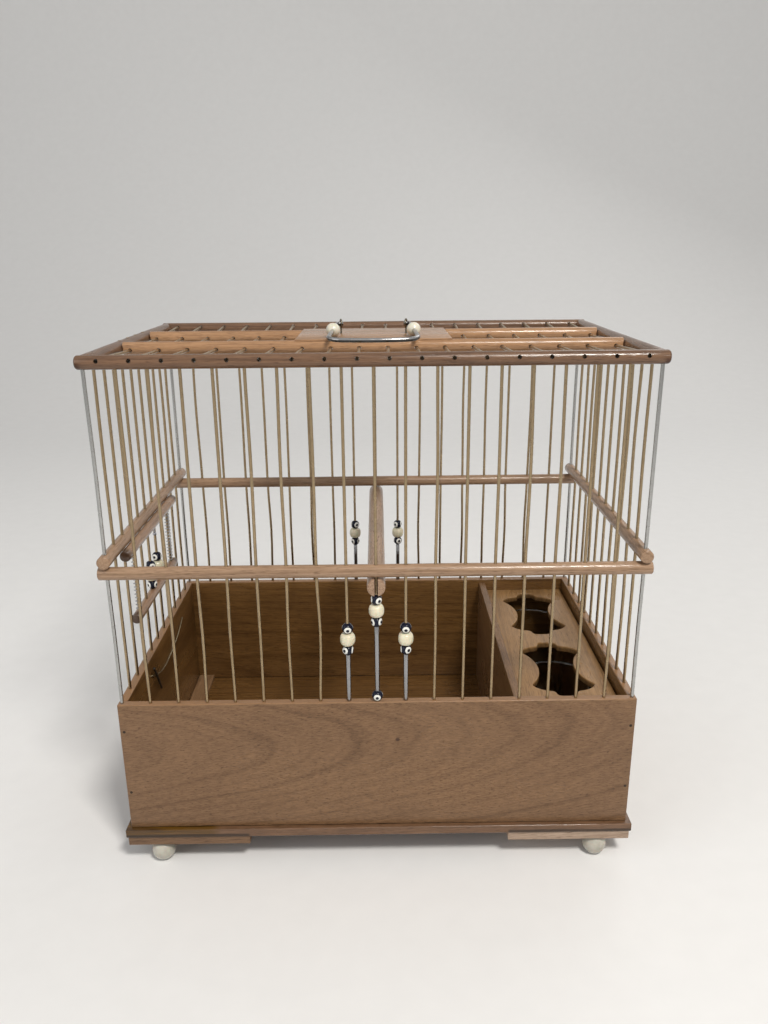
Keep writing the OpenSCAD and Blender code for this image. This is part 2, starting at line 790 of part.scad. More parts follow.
// Thin sagging wire on the inner face of the left board, with a dark pin that hangs on it
catch_mid_y = 3.5;
catch_x = -inner_x + catch_wire_d / 2 + touch;
catch_z = rim_z - catch_drop;
catch_r = (pow(catch_span / 2, 2) + pow(catch_sag, 2)) / (2 * catch_sag);
catch_half_angle = asin(catch_span / 2 / catch_r);
catch_pin_lean = 31;
module at_catch_ends() {
    for (end = [-1, 1]) translate([-inner_x, catch_mid_y + end * catch_span / 2, catch_z]) children();
}
module left_board_catch() {
    color(brass) {
        translate([catch_x, catch_mid_y, catch_z - catch_sag + catch_r])
            rotate([90, 0, 90])
                rotate([0, 0, -90 - catch_half_angle])
                    rotate_extrude(angle = 2 * catch_half_angle, $fn = 180)
                        translate([catch_r, 0]) circle(d = catch_wire_d, $fn = 16);
        at_catch_ends() translate([catch_wire_d / 2 + touch, 0, 0]) rotate([0, -90, 0])
            rod_z(catch_wire_d, 0, 2.5 + catch_wire_d / 2);
        at_catch_ends() translate([catch_wire_d / 2 + touch, 0, 0]) sphere(d = catch_wire_d, $fn = 16);
    }
    color("dimgray") translate([catch_x + catch_wire_d / 2 + catch_pin_d / 2 + touch,
        catch_mid_y - catch_span / 2 + 3, catch_z + 4])
        rotate([180 - catch_pin_lean, 0, 0]) rod_z(catch_pin_d, 0, catch_pin_len);
}

// Handle: a bent rod whose ends turn in screw eyes, with a bead on each arm

// Ring about the rod in a bend of radius r about c, turned right by an angle and moved ahead along the rod
function bend_ring(c, r, turn, ahead) =
    [for (s = [0 : bend_sides - 1])
        let (a = 360 * s / bend_sides, out = r + bend_d / 2 * cos(a))
        [
            c.x + out * sin(turn) + ahead * cos(turn),
            c.y + out * cos(turn) - ahead * sin(turn),
            bend_d / 2 * sin(a)
        ]];
// Bend of the rod, its ends standing in the straight runs
module bend(c, r, from, to) {
    swept(concat(
        [bend_ring(c, r, from, -bend_root)],
        [for (i = [0 : bend_steps]) bend_ring(c, r, from + (to - from) * i / bend_steps, 0)],
        [bend_ring(c, r, to, bend_root)]
    ));
}
// Puts its children, drawn with the bail's axis on X and the grip towards -Y, where the folded bail lies
module at_bail() {
    translate([0, 0, bail_axis_z]) rotate([bail_rest, 0, 0]) children();
}
// Puts its children, drawn along +Z, on an arm of the bail: side is -1 or 1
module along_arm(side) {
    translate([side * bail_foot_x, 0, 0]) rotate([90, 0, side * bail_flare]) children();
}
module right_half_of_bail() {
    translate([bail_foot_x - (bail_end + foot_tangent) / 2, 0, 0]) rod_x(rod_d, bail_end - foot_tangent);
    bend([bail_foot_x - foot_tangent, -foot_bend_r], foot_bend_r, 0, 90 - bail_flare);
    along_arm(1) rod_z(rod_d, foot_tangent, bail_arm);
    bend([bail_bend_x, -bail_bend_y], bail_bend_r, 90 - bail_flare, 180);
}
module handle_bail() {
    color(steel) at_bail() {
        translate([0, -bail_reach, 0]) rod_x(rod_d, 2 * bail_bend_x);
        right_half_of_bail();
        mirror([1, 0, 0]) right_half_of_bail();
    }
}
module handle_beads() {
    color(cream) at_bail() for (side = [-1, 1])
        along_arm(side) translate([0, 0, bead_reach]) difference() {
            sphere(d = handle_bead_d);
            rod_z(rod_d + 2 * fit, -handle_bead_d, handle_bead_d);
        }
}
module handle_eyes() {
    ring_low = bail_axis_z - eye_ring_r;
    color(steel) for (x = [-handle_eye_x, handle_eye_x]) translate([x, 0, 0]) {
        translate([0, 0, bail_axis_z]) rotate([0, 90, 0]) rotate_extrude()
            translate([eye_ring_r, 0]) circle(d = eye_wire_d, $fn = 24);
        rod_z(eye_wire_d, handle_board_top - eye_screw_len, ring_low);
    }
}

base_board();
left_skid();
right_skid();
ball_feet();
foot_screws();
front_board();
back_board();
left_board();
right_board();
board_brads();
floor_lath();
partition_board();
cover_cleats();
cover_plate();
front_jar();
rear_jar();
front_mid_dowel();
back_mid_dowel();
left_mid_dowel();
right_mid_dowel();
front_top_dowel();
back_top_dowel();
left_top_dowel();
right_top_dowel();
front_roof_bar();
rear_roof_bar();
handle_board();
corner_wires();
front_wires();
back_wires();
left_wires();
right_wires();
roof_wires();
perch();
centre_tubes();
centre_cream_beads();
centre_eye_beads();
front_left_tube();
front_left_cream_bead();
front_left_eye_beads();
front_right_tube();
front_right_cream_bead();
front_right_eye_beads();
back_left_tube();
back_left_cream_bead();
back_left_eye_beads();
back_right_tube();
back_right_cream_bead();
back_right_eye_beads();
gate_rail();
gate_wires();
gate_cream_beads();
gate_eye_beads();
gate_springs();
stop_bar();
stop_bar_pins();
left_board_catch();
handle_bail();
handle_beads();
handle_eyes();
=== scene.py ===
import json
import math
import random

import bpy
from mathutils import Matrix, Vector


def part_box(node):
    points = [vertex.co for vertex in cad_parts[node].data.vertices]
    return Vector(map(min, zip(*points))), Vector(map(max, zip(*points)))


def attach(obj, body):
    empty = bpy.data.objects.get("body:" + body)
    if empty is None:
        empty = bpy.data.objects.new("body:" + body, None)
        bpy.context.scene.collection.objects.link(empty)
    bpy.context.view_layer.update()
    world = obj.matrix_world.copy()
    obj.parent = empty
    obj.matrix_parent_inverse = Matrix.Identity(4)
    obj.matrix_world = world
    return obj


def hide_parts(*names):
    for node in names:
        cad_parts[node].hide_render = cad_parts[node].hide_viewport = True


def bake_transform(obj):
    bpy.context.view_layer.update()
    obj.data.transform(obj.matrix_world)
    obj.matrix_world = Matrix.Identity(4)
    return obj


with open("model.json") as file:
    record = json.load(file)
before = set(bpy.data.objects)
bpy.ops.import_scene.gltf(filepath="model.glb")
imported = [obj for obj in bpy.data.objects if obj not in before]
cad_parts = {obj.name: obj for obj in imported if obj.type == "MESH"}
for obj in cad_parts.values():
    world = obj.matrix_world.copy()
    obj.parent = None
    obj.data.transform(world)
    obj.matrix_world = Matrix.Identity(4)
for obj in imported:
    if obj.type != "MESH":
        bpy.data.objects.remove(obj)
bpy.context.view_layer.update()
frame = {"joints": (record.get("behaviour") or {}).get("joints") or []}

MM = 0.001


# The studio round the cage: a pale sweep as floor and backdrop, a lamp high in front and to the
# right, a wide soft one on the left, one behind, and the camera that took the photo.
def deselect():
    bpy.ops.object.select_all(action="DESELECT")


def select_only(piece):
    deselect()
    piece.select_set(True)
    bpy.context.view_layer.objects.active = piece


def added(name, data):
    piece = bpy.data.objects.new(name, data)
    bpy.context.collection.objects.link(piece)
    return piece


def primitive(kind, **settings):
    deselect()
    getattr(bpy.ops.mesh, "primitive_" + kind + "_add")(**settings)
    return bpy.context.object


def is_socket(value):
    return isinstance(value, bpy.types.NodeSocket)


def feed(node, inputs):
    """Links a socket to each named input of a node, or sets its number or colour."""
    for name, value in inputs.items():
        if is_socket(value):
            node.id_data.links.new(value, node.inputs[name])
        else:
            node.inputs[name].default_value = value


def shader(kind, inputs=None, tree=None, **settings):
    """A new node, in the tree that its inputs come from if none is given."""
    inputs = inputs or {}
    tree = tree or next(value.id_data for value in inputs.values() if is_socket(value))
    node = tree.nodes.new("ShaderNode" + kind)
    for name, value in settings.items():
        setattr(node, name, value)
    feed(node, inputs)
    return node


def maths(operation, *values, clamp=False):
    return shader("Math", dict(enumerate(values)), operation=operation, use_clamp=clamp).outputs[0]


def new_finish(name):
    """A new material, its skin and its Object coordinates."""
    finish = bpy.data.materials.new(name)
    finish.use_nodes = True
    tree = finish.node_tree
    return finish, tree.nodes["Principled BSDF"], shader("TexCoord", tree=tree).outputs["Object"]


wall_height, fold_radius = 5, 1.1
sweep = primitive("plane", size=9, location=(0, -2.3, 0))
bpy.ops.object.transform_apply(location=True)
bpy.ops.object.mode_set(mode="EDIT")
bpy.ops.mesh.select_all(action="DESELECT")
bpy.ops.object.mode_set(mode="OBJECT")
for edge in sweep.data.edges:
    edge.select = all(sweep.data.vertices[v].co.y > 2 for v in edge.vertices)
bpy.ops.object.mode_set(mode="EDIT")
bpy.ops.mesh.select_mode(type="EDGE")
bpy.ops.mesh.extrude_region_move(TRANSFORM_OT_translate={"value": (0, 0, wall_height)})
bpy.ops.object.mode_set(mode="OBJECT")
fold = sweep.modifiers.new("fold", "BEVEL")
fold.width, fold.segments = fold_radius, 16
bpy.ops.object.modifier_apply(modifier=fold.name)
bpy.ops.object.shade_smooth()
sweep.name = "studio_sweep"
paper, skin, place = new_finish("sweep_paper")
tooth = shader("TexNoise", {"Vector": place, "Scale": 60.0, "Detail": 3.0}).outputs["Fac"]
tone = shader("MapRange", {"Value": tooth, "To Min": 0.78, "To Max": 0.82}).outputs[0]
shade = shader("CombineColor", {0: tone, 1: tone, 2: tone})
feed(skin, {"Base Color": shade.outputs[0], "Roughness": 0.9})
sweep.data.materials.append(paper)

world = bpy.data.worlds.new("studio_air")
bpy.context.scene.world = world
world.use_nodes = True
world.node_tree.nodes.clear()
rays = shader("LightPath", tree=world.node_tree)
seen = maths("MAXIMUM", rays.outputs["Is Camera Ray"], rays.outputs["Is Glossy Ray"])
seen = maths("MAXIMUM", seen, rays.outputs["Is Transmission Ray"])
level = shader("MapRange", {"Value": seen, "To Min": 0.42, "To Max": 0.75})
air = shader("Background", {"Color": (1.0, 0.985, 0.96, 1), "Strength": level.outputs[0]})
shader("OutputWorld", {"Surface": air.outputs[0]})


def lamp(name, place, aim, size, power, tint):
    data = bpy.data.lights.new(name, "AREA")
    data.shape, data.size, data.size_y = "RECTANGLE", size[0], size[1]
    data.energy, data.color = power, tint
    light = added(name, data)
    light.location = place
    light.rotation_euler = (Vector(aim) - Vector(place)).to_track_quat("-Z", "Y").to_euler()
    light.visible_camera = False


lamp("high_lamp", place=(0.46, -1.0, 1.5), aim=(0.02, 0, 0.16), size=(0.34, 0.26), power=22.0,
     tint=(1.0, 0.96, 0.90))
lamp("side_lamp", place=(-1.5, -0.9, 0.9), aim=(0, 0, 0.15), size=(1.4, 1.2), power=7.0,
     tint=(0.96, 0.98, 1.0))
lamp("back_lamp", place=(0.9, 1.3, 1.3), aim=(0, 0, 0.2), size=(1.2, 0.8), power=5.0,
     tint=(1.0, 0.98, 0.95))

focal_pixels, picture_height, sensor = 830.43, 1024, 36.0
camera_data = bpy.data.cameras.new("photo_camera")
camera_data.sensor_width = sensor
camera_data.lens = sensor * focal_pixels / picture_height
camera_data.clip_start, camera_data.clip_end = 0.02, 40
camera = added("photo_camera", camera_data)
pitch, yaw, roll = math.radians(17.782), math.radians(-0.386), math.radians(-0.53)
ahead = Vector((-math.sin(yaw) * math.cos(pitch), math.cos(yaw) * math.cos(pitch), -math.sin(pitch)))
level_right = Vector((math.cos(yaw), math.sin(yaw), 0))
level_up = level_right.cross(ahead)
right = level_right * math.cos(roll) + level_up * math.sin(roll)
up = level_up * math.cos(roll) - level_right * math.sin(roll)
camera_spot = Matrix.Translation((1.91 * MM, -525.4 * MM, 366.0 * MM))
camera.matrix_world = camera_spot @ Matrix((right, up, -ahead)).transposed().to_4x4()
bpy.context.scene.camera = camera
bpy.context.scene.view_settings.view_transform = "Standard"


# The long boards of the box, front and back: planed beech, brushed with a thin gloss varnish, with shade
# painted as a dark ring round the foot of each wire. Drilled along the rim and nailed to the side boards.
def middle(node):
    low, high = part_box(node)
    return (low + high) / 2


def half_height(node):
    low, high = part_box(node)
    return (high.z - low.z) / 2


front_line = -middle("front_wires").y
side_line = middle("right_wires").x
front_low, front_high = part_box("front_wires")
wire_radius = (front_high.y - front_low.y) / 2
front_pitch = (front_high.x - front_low.x - 2 * wire_radius) / 16
side_low, side_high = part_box("right_wires")
side_pitch = (side_high.y - side_low.y - 2 * wire_radius) / 9
rim_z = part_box("front_board")[1].z
roof_line = middle("roof_wires").z
top_line = middle("front_top_dowel").z


def axes(place):
    return tuple(shader("SeparateXYZ", {0: place}).outputs)


def noise(vector, scale=1.0, detail=2.0, stretch=None, roughness=0.5):
    if stretch:
        vector = shader("VectorMath", {0: vector, 1: stretch}, operation="MULTIPLY").outputs[0]
    return shader("TexNoise", {"Vector": vector, "Scale": scale, "Detail": detail,
                               "Roughness": roughness}).outputs["Fac"]


def product(first, *others):
    for other in others:
        first = maths("MULTIPLY", first, other)
    return first


def distance(a, b):
    squares = [maths("POWER", value, 2.0) for value in (a, b)]
    return maths("SQRT", maths("ADD", *squares))


def past(value, line):
    """How far a value lies beyond a line, on either side of zero."""
    return maths("SUBTRACT", maths("ABSOLUTE", value), line)


def ramp(value, low, high, to_low=0.0, to_high=1.0):
    return shader("MapRange", {"Value": value, "From Min": low, "From Max": high,
                               "To Min": to_low, "To Max": to_high},
                  interpolation_type="SMOOTHSTEP").outputs[0]


def blended(factor, first, second, blend="MIX"):
    mix = shader("Mix", {0: factor, 6: first, 7: second}, data_type="RGBA", blend_type=blend)
    return mix.outputs[2]


def bumped(skin, height, strength, depth):
    bump = shader("Bump", {"Height": height, "Strength": strength, "Distance": depth})
    feed(skin, {"Normal": bump.outputs[0]})


def new_group(name, inputs, outputs):
    """A shader node group, with its input and output nodes. Sockets are (name, kind) pairs."""
    group = bpy.data.node_groups.new(name, "ShaderNodeTree")
    for direction, sockets in (("INPUT", inputs), ("OUTPUT", outputs)):
        for label, kind in sockets:
            group.interface.new_socket(label, in_out=direction, socket_type="NodeSocket" + kind)
    return group, group.nodes.new("NodeGroupInput"), group.nodes.new("NodeGroupOutput")


def wave(turns, rate):
    return maths("MULTIPLY_ADD", maths("SINE", maths("MULTIPLY", turns, rate)), 0.5, 0.5)


grain_group, given, taken = new_group(
    "beech_grain", (("Vector", "Vector"), ("Pale", "Color"), ("Dark", "Color"), ("Ring Width", "Float"),
                    ("Rings", "Float"), ("Flecks", "Float")),
    (("Color", "Color"), ("Height", "Float"), ("Wear", "Float")))
place = given.outputs["Vector"]
sway = noise(place, stretch=(7, 30, 30))
x, y, z = axes(place)
radius = maths("MULTIPLY_ADD", sway, 6 * MM, distance(y, z))
turns = maths("DIVIDE", radius, given.outputs["Ring Width"])
uneven = shader("TexNoise", {"W": maths("MULTIPLY", turns, 0.7), "Scale": 1.0, "Detail": 1.0},
                noise_dimensions="1D").outputs["Fac"]
rings = product(maths("POWER", wave(turns, 2 * math.pi), 2.0), ramp(uneven, 0.3, 0.7))
fibre = noise(place, detail=4.0, stretch=(45, 1500, 1500), roughness=0.7)
cloud = noise(place, stretch=(9, 34, 34))
pores = noise(place, detail=1.0, stretch=(170, 2500, 2500))
tone = product(rings, given.outputs["Rings"])
for layer, weight in ((wave(turns, 21.0), 0.12), (ramp(cloud, 0.3, 0.7), 0.22)):
    tone = maths("MULTIPLY_ADD", layer, weight, tone)
tone = maths("MULTIPLY_ADD", ramp(fibre, 0.36, 0.64), 0.5, tone, clamp=True)
colour = blended(tone, given.outputs["Pale"], given.outputs["Dark"])
fleck = product(ramp(pores, 0.56, 0.72), given.outputs["Flecks"])
fleck_tint = blended(1.0, given.outputs["Dark"], (0.40, 0.32, 0.24, 1), "MULTIPLY")
feed(taken, {"Color": blended(fleck, colour, fleck_tint), "Wear": cloud,
             "Height": maths("SUBTRACT", maths("MULTIPLY", fibre, 0.6), fleck)})

# Painted shade: a dark ring round the foot of each wire, where it goes into the wood.
wire_shade_group, given, taken = new_group(
    "wire_foot_shade", (("Vector", "Vector"), ("Pitch", "Float"), ("Shift", "Float"), ("Line", "Float"),
                   ("Radius", "Float")), (("Mask", "Float"),))
x, y, z = axes(given.outputs["Vector"])
step = maths("ADD", maths("DIVIDE", x, given.outputs["Pitch"]), given.outputs["Shift"])
near = product(maths("SUBTRACT", step, maths("ROUND", step)), given.outputs["Pitch"])
apart = distance(near, past(y, given.outputs["Line"]))
apart = maths("MULTIPLY_ADD", noise(given.outputs["Vector"], 900.0), 0.9 * MM, apart)
apart = maths("DIVIDE", apart, given.outputs["Radius"])
feed(taken, {"Mask": ramp(apart, 1.5, 0.8)})

ALONG_X, ALONG_Y = (0, math.radians(90), 0), (math.radians(90), 0, 0)
TURNS = {"X": (0, 0, 0), "Y": (0, 0, math.radians(90))}


def wood(name, pale, dark, along, heart=(0, 0.05, 0.06), tilt=(0, 0, 0), ring_width=0.004, rings=0.4,
         flecks=0.6, roughness=0.30, coat=0.06, stains=(), wire_shade_of=None, inner=None):
    """Beech with its grain along an axis. heart moves the middle of its rings, tilt leans it by degrees.

    stains are pairs of a mask maker and a colour. inner is a mask maker with a pale and a dark colour.
    wire_shade_of is the axes, pitch, shift and line of a row of wires, and the radius of the painted shade ring
    round each wire foot.
    """
    finish, skin, place = new_finish(name)
    turn = shader("Mapping", {"Vector": place, "Rotation": TURNS[along]})
    lean = shader("Mapping", {"Vector": turn.outputs[0], "Location": heart,
                              "Rotation": [math.radians(angle) for angle in tilt]})
    tints = {"Pale": (*pale, 1), "Dark": (*dark, 1)}
    if inner:
        mask = inner[0](place)
        for label, tint in zip(tints, inner[1:]):
            tints[label] = blended(mask, tints[label], (*tint, 1))
    grain = shader("Group", {"Vector": lean.outputs[0], "Ring Width": ring_width, "Rings": rings,
                             "Flecks": flecks, **tints}, node_tree=grain_group)
    colour = grain.outputs["Color"]
    if wire_shade_of:
        (along_row, across_row), pitch, shift, line, radius = wire_shade_of
        spots = axes(place)
        flat = shader("CombineXYZ", {0: spots[along_row], 1: spots[across_row]})
        wire_shade = shader("Group", {"Vector": flat.outputs[0], "Pitch": pitch, "Shift": shift, "Line": line,
                                 "Radius": radius}, node_tree=wire_shade_group)
        # Shade is painted as a dark ring round each wire foot.
        colour = blended(maths("MULTIPLY", wire_shade.outputs["Mask"], 0.8), colour, (*[0.35 * d for d in dark], 1))
    for mask, tint in stains:
        colour = blended(mask(place), colour, (*tint, 1))
    patchy = ramp(grain.outputs["Wear"], 0.3, 0.7, roughness - 0.06, roughness + 0.08)
    feed(skin, {"Base Color": colour, "Roughness": patchy, "Specular IOR Level": 0.38,
                "Coat Weight": coat, "Coat Roughness": 0.12})
    bumped(skin, grain.outputs["Height"], 0.35, 0.2 * MM)
    return finish


def editing():
    bpy.ops.object.mode_set(mode="EDIT")
    bpy.ops.mesh.select_all(action="SELECT")


def faced_out():
    """Turns all faces outwards and ends the editing."""
    bpy.ops.mesh.select_all(action="SELECT")
    bpy.ops.mesh.normals_make_consistent(inside=False)
    bpy.ops.object.mode_set(mode="OBJECT")


def rounded(piece, width, segments=3):
    bevel = piece.modifiers.new("eased_edges", "BEVEL")
    bevel.width, bevel.segments, bevel.limit_method = width, segments, "ANGLE"
    bevel.angle_limit = math.radians(40)
    return piece


def applied(piece):
    select_only(piece)
    for modifier in list(piece.modifiers):
        bpy.ops.object.modifier_apply(modifier=modifier.name)
    return piece


def joined(pieces):
    select_only(pieces[0])
    for piece in pieces:
        piece.select_set(True)
    bpy.ops.object.join()
    return bpy.context.object


def finished(piece, name, finish, body, slot, *nodes, smooth=40):
    applied(piece)
    bpy.ops.object.transform_apply(location=True, rotation=True, scale=True)
    bpy.ops.object.shade_smooth_by_angle(angle=math.radians(smooth))
    piece.name = piece.data.name = name
    if finish:
        piece.data.materials.clear()
        piece.data.materials.append(finish)
    if body:
        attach(piece, body)
    if nodes:
        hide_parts(*nodes)
    return piece


def plank(low, high, ease=0.7 * MM, cuts=6, unevenness=0.05 * MM, seed=1):
    """A board between two corners, planed by hand, with eased edges."""
    piece = primitive("cube", size=1, location=(Vector(low) + Vector(high)) / 2)
    piece.scale = Vector(high) - Vector(low)
    bpy.ops.object.transform_apply(location=True, rotation=True, scale=True)
    editing()
    bpy.ops.mesh.subdivide(number_cuts=cuts)
    bpy.ops.transform.vertex_random(offset=unevenness, seed=seed)
    bpy.ops.object.mode_set(mode="OBJECT")
    return rounded(piece, ease)


def inside_box_shade(place):
    """The faces that look into the box, painted darker and more amber as the shade inside the box."""
    x, y, z = axes(place)
    across = ramp(past(x, inner_x), 0.6 * MM, 0.1 * MM)
    deep = ramp(past(y, inner_y), 0.6 * MM, 0.1 * MM)
    return product(across, deep, ramp(z, floor_z - 0.6 * MM, floor_z - 0.1 * MM))


def board_foot_shadow(place):
    """A dark line along the foot of a board: painted shadow in the gap at its foot, and glue."""
    edge_noise = noise(place, detail=3.0, stretch=(90, 90, 400))
    height = maths("MULTIPLY_ADD", edge_noise, -2.2 * MM, axes(place)[2])
    return ramp(height, floor_z - 0.2 * MM, floor_z - 1.0 * MM)


def pin_knot(place):
    """A pin knot right of the middle of the front board."""
    knot_x, knot_z = 11.7 * MM, 85.5 * MM
    x, y, z = axes(place)
    apart = distance(maths("SUBTRACT", x, knot_x), maths("SUBTRACT", z, knot_z))
    apart = maths("MULTIPLY_ADD", noise(place, 600.0), 0.9 * MM, apart)
    return ramp(apart, 2.2 * MM, 1.2 * MM, 0.0, 0.9)


def rim_highlight_mask(place):
    """The outer top edge of a board, painted lighter and more orange as a highlight."""
    patchy = noise(place, 90.0, 3.0)
    height = maths("MULTIPLY_ADD", patchy, 1.0 * MM, axes(place)[2])
    return ramp(height, rim_z - 0.5 * MM, rim_z + 0.3 * MM, 0.0, 0.5)


inner_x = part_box("right_board")[0].x
inner_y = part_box("back_board")[0].y
floor_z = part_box("base_board")[1].z
box_pale, box_dark = (0.240, 0.134, 0.066), (0.122, 0.063, 0.028)
# Painted shade inside the box: its inner faces darker and more amber.
inner_shade = (inside_box_shade, (0.225, 0.116, 0.038), (0.088, 0.040, 0.011))
# Painted highlight: the top edge of the boards lighter and more orange.
rim_highlight = (rim_highlight_mask, (0.34, 0.19, 0.095))
# Painted shadow: a dark line along the foot of the boards.
foot_shadow = (board_foot_shadow, (0.035, 0.018, 0.008))
wire_shade_radius = 1.3 * MM
along_front = ((0, 1), front_pitch, 0.0, front_line, wire_shade_radius)
along_side = ((1, 0), side_pitch, 0.5, side_line, wire_shade_radius)
front_board_wood = wood(
    "front_board_beech", box_pale, box_dark, "X", heart=(0, 0.1424, -0.087),
    tilt=(0, 3.44, 8.6), ring_width=0.0045, rings=0.38, wire_shade_of=along_front,
    inner=inner_shade, stains=(foot_shadow, rim_highlight, (pin_knot, (0.045, 0.018, 0.008))))
back_board_wood = wood(
    "back_board_beech", box_pale, box_dark, "X", heart=(0.05, -0.13, -0.03),
    tilt=(0, -3, 2), ring_width=0.005, stains=(foot_shadow, rim_highlight), wire_shade_of=along_front,
    inner=inner_shade)
for node, finish, seed in (("front_board", front_board_wood, 3), ("back_board", back_board_wood, 4)):
    finished(plank(*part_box(node), seed=seed), node.replace("_", "_long_"), finish, "cage",
             "varnished_beech", node)


# The short boards of the box, left and right, butted between the long ones. The same varnished
# beech, its grain running from front to back.
side_board_wood = wood(
    "side_board_beech", box_pale, box_dark, "Y", heart=(0.1, 0.03, -0.09), tilt=(0, 4, 0),
    stains=(foot_shadow, rim_highlight), wire_shade_of=along_side, inner=inner_shade)
for node, seed in (("left_board", 5), ("right_board", 6)):
    finished(plank(*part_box(node), seed=seed), node.replace("_", "_short_"), side_board_wood, "cage",
             "varnished_beech", node)


# Brads that nail the long boards to the short ones: round steel heads, gone dull, punched in
# flush with the wood.
def metal(name, colour, roughness, amount=0.3):
    fine, grime = 700.0, (0.3, 0.25, 0.2)
    finish, skin, place = new_finish(name)
    spots = noise(place, fine / 3, 3.0)
    dull = maths("MULTIPLY", ramp(spots, 0.42, 0.68), amount)
    dull_tint = (*[c * g for c, g in zip(colour, grime)], 1)
    feed(skin, {"Base Color": blended(dull, (*colour, 1), dull_tint), "Metallic": 1.0,
                "Roughness": ramp(spots, 0.3, 0.7, roughness, roughness + 0.16)})
    bumped(skin, noise(place, fine), 0.12, 0.03 * MM)
    return finish


brad_steel = metal("dull_brad_steel", (0.07, 0.055, 0.045), 0.5)
brad_low, brad_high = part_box("board_brads")
head_inset, head_sink = 0.7 * MM, 0.12 * MM
heads = []
for x in (-side_line, side_line):
    for wall, y in ((-1, brad_low.y), (1, brad_high.y)):
        for z in (brad_low.z + head_inset, brad_high.z - head_inset):
            head = primitive("cylinder", vertices=16, radius=0.9 * MM, depth=0.6 * MM,
                             location=(x, y - wall * head_sink, z), rotation=ALONG_Y)
            heads.append(applied(rounded(head, 0.15 * MM, 2)))
finished(joined(heads), "brad_heads", brad_steel, "cage", "steel", "board_brads")


# The base board, planed round on its edges and varnished with the box. Under its left front end
# the varnish has run and dried dark.
base_low, base_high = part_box("base_board")
skid_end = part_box("right_skid")[0].x


def varnish_run(place):
    drips = noise(place, detail=3.0, stretch=(25, 100, 900))
    x, y, z = axes(place)
    return product(ramp(x, -96 * MM, -104 * MM), ramp(y, -88 * MM, -94 * MM),
                   ramp(drips, 0.3, 0.62, 0.55, 1.0))


def run_lines(place):
    """Dark lines where the run has dried in layers."""
    lines = noise(place, stretch=(20, 200, 1500))
    return product(varnish_run(place), ramp(lines, 0.5, 0.62, 0.0, 0.85))


def skid_joint_shadow(place):
    """Painted shadow in the joint between the base and a skid."""
    x, y, z = axes(place)
    height = maths("MULTIPLY_ADD", noise(place, stretch=(60, 60, 300)), -1.2 * MM, z)
    return product(ramp(past(x, skid_end), -1 * MM, 1 * MM),
                   ramp(height, base_low.z + 2.2 * MM, base_low.z + 1.2 * MM, 0.0, 0.8))


# The base gets a painted shadow in its joints with the skids.
base_wood = wood(
    "base_board_beech", (0.195, 0.104, 0.056), (0.10, 0.052, 0.026), "X", heart=(0.1, 0.2, 0.02),
    tilt=(0, 2, 0), roughness=0.24, coat=0.25, inner=inner_shade,
    stains=((varnish_run, (0.105, 0.050, 0.006)), (run_lines, (0.030, 0.013, 0.003)),
            (skid_joint_shadow, (0.02, 0.01, 0.004))))
base = plank(base_low, base_high, ease=2.2 * MM, seed=7)
base.modifiers["eased_edges"].segments = 6
finished(base, "round_base", base_wood, "cage", "varnished_beech", "base_board")


# Two wide skids, screwed across under the base board. Both are left raw; the left one is painted darker
# and browner as shade, and the right one is of a paler beech.
for node, pale, dark, seed in (("left_skid", (0.20, 0.115, 0.062), (0.11, 0.058, 0.029), 8),
                               ("right_skid", (0.47, 0.35, 0.26), (0.29, 0.20, 0.14), 9)):
    skid_wood = wood(node + "_beech", pale, dark, "X", heart=(0.03, 0.12, 0.2), tilt=(0, 3, 0),
                     roughness=0.55, coat=0.05, flecks=0.7)
    finished(plank(*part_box(node), ease=0.5 * MM, seed=seed), "wide_" + node, skid_wood, "cage",
             "pale_wood", node)


# Ball feet: large cream plastic beads with a flat at the top and bottom, held by headless screws
# that are out of sight.
def cream_plastic(name, pale, dark):
    finish, skin, place = new_finish(name)
    cloud, tiny = noise(place, 160.0, 3.0), noise(place, 1500.0)
    feed(skin, {"Base Color": blended(ramp(cloud, 0.35, 0.7), (*pale, 1), (*dark, 1)),
                "Roughness": ramp(tiny, 0.2, 0.8, 0.26, 0.38), "Coat Weight": 0.25,
                "Coat Roughness": 0.12, "Subsurface Weight": 0.12, "Subsurface Scale": 0.002})
    bumped(skin, cloud, 0.12, 0.2 * MM)
    return finish


def ball(radius, segments=48, rings=32, **settings):
    return primitive("uv_sphere", segments=segments, ring_count=rings, radius=radius, **settings)


foot_cream = cream_plastic("foot_cream", (0.48, 0.46, 0.395), (0.36, 0.34, 0.285))
foot_low, foot_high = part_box("ball_feet")
foot_radius, half_foot = 7.3 * MM, foot_high.z / 2
feet = []
for x in (foot_low.x + foot_radius, foot_high.x - foot_radius):
    for y in (foot_low.y + foot_radius, foot_high.y - foot_radius):
        foot = ball(foot_radius)
        for vertex in foot.data.vertices:
            vertex.co.z = max(-half_foot, min(half_foot, vertex.co.z))
        foot.location = (x, y, half_foot)
        feet.append(foot)
finished(joined(feet), "cream_ball_feet", foot_cream, "cage", "cream_bead", "ball_feet", smooth=58)


# A thin lath along the left wall, laid on the floor of the box. It is raw on its top, like the
# cleats under the cover plate.
lath_wood = wood("floor_lath_beech", (0.34, 0.20, 0.105), (0.19, 0.105, 0.05), "Y", heart=(0, 0.1, 0.1),
                 roughness=0.5, coat=0.1)
finished(plank(*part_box("floor_lath"), ease=0.4 * MM, seed=10), "wall_lath", lath_wood, "cage", "pale_wood",
         "floor_lath")


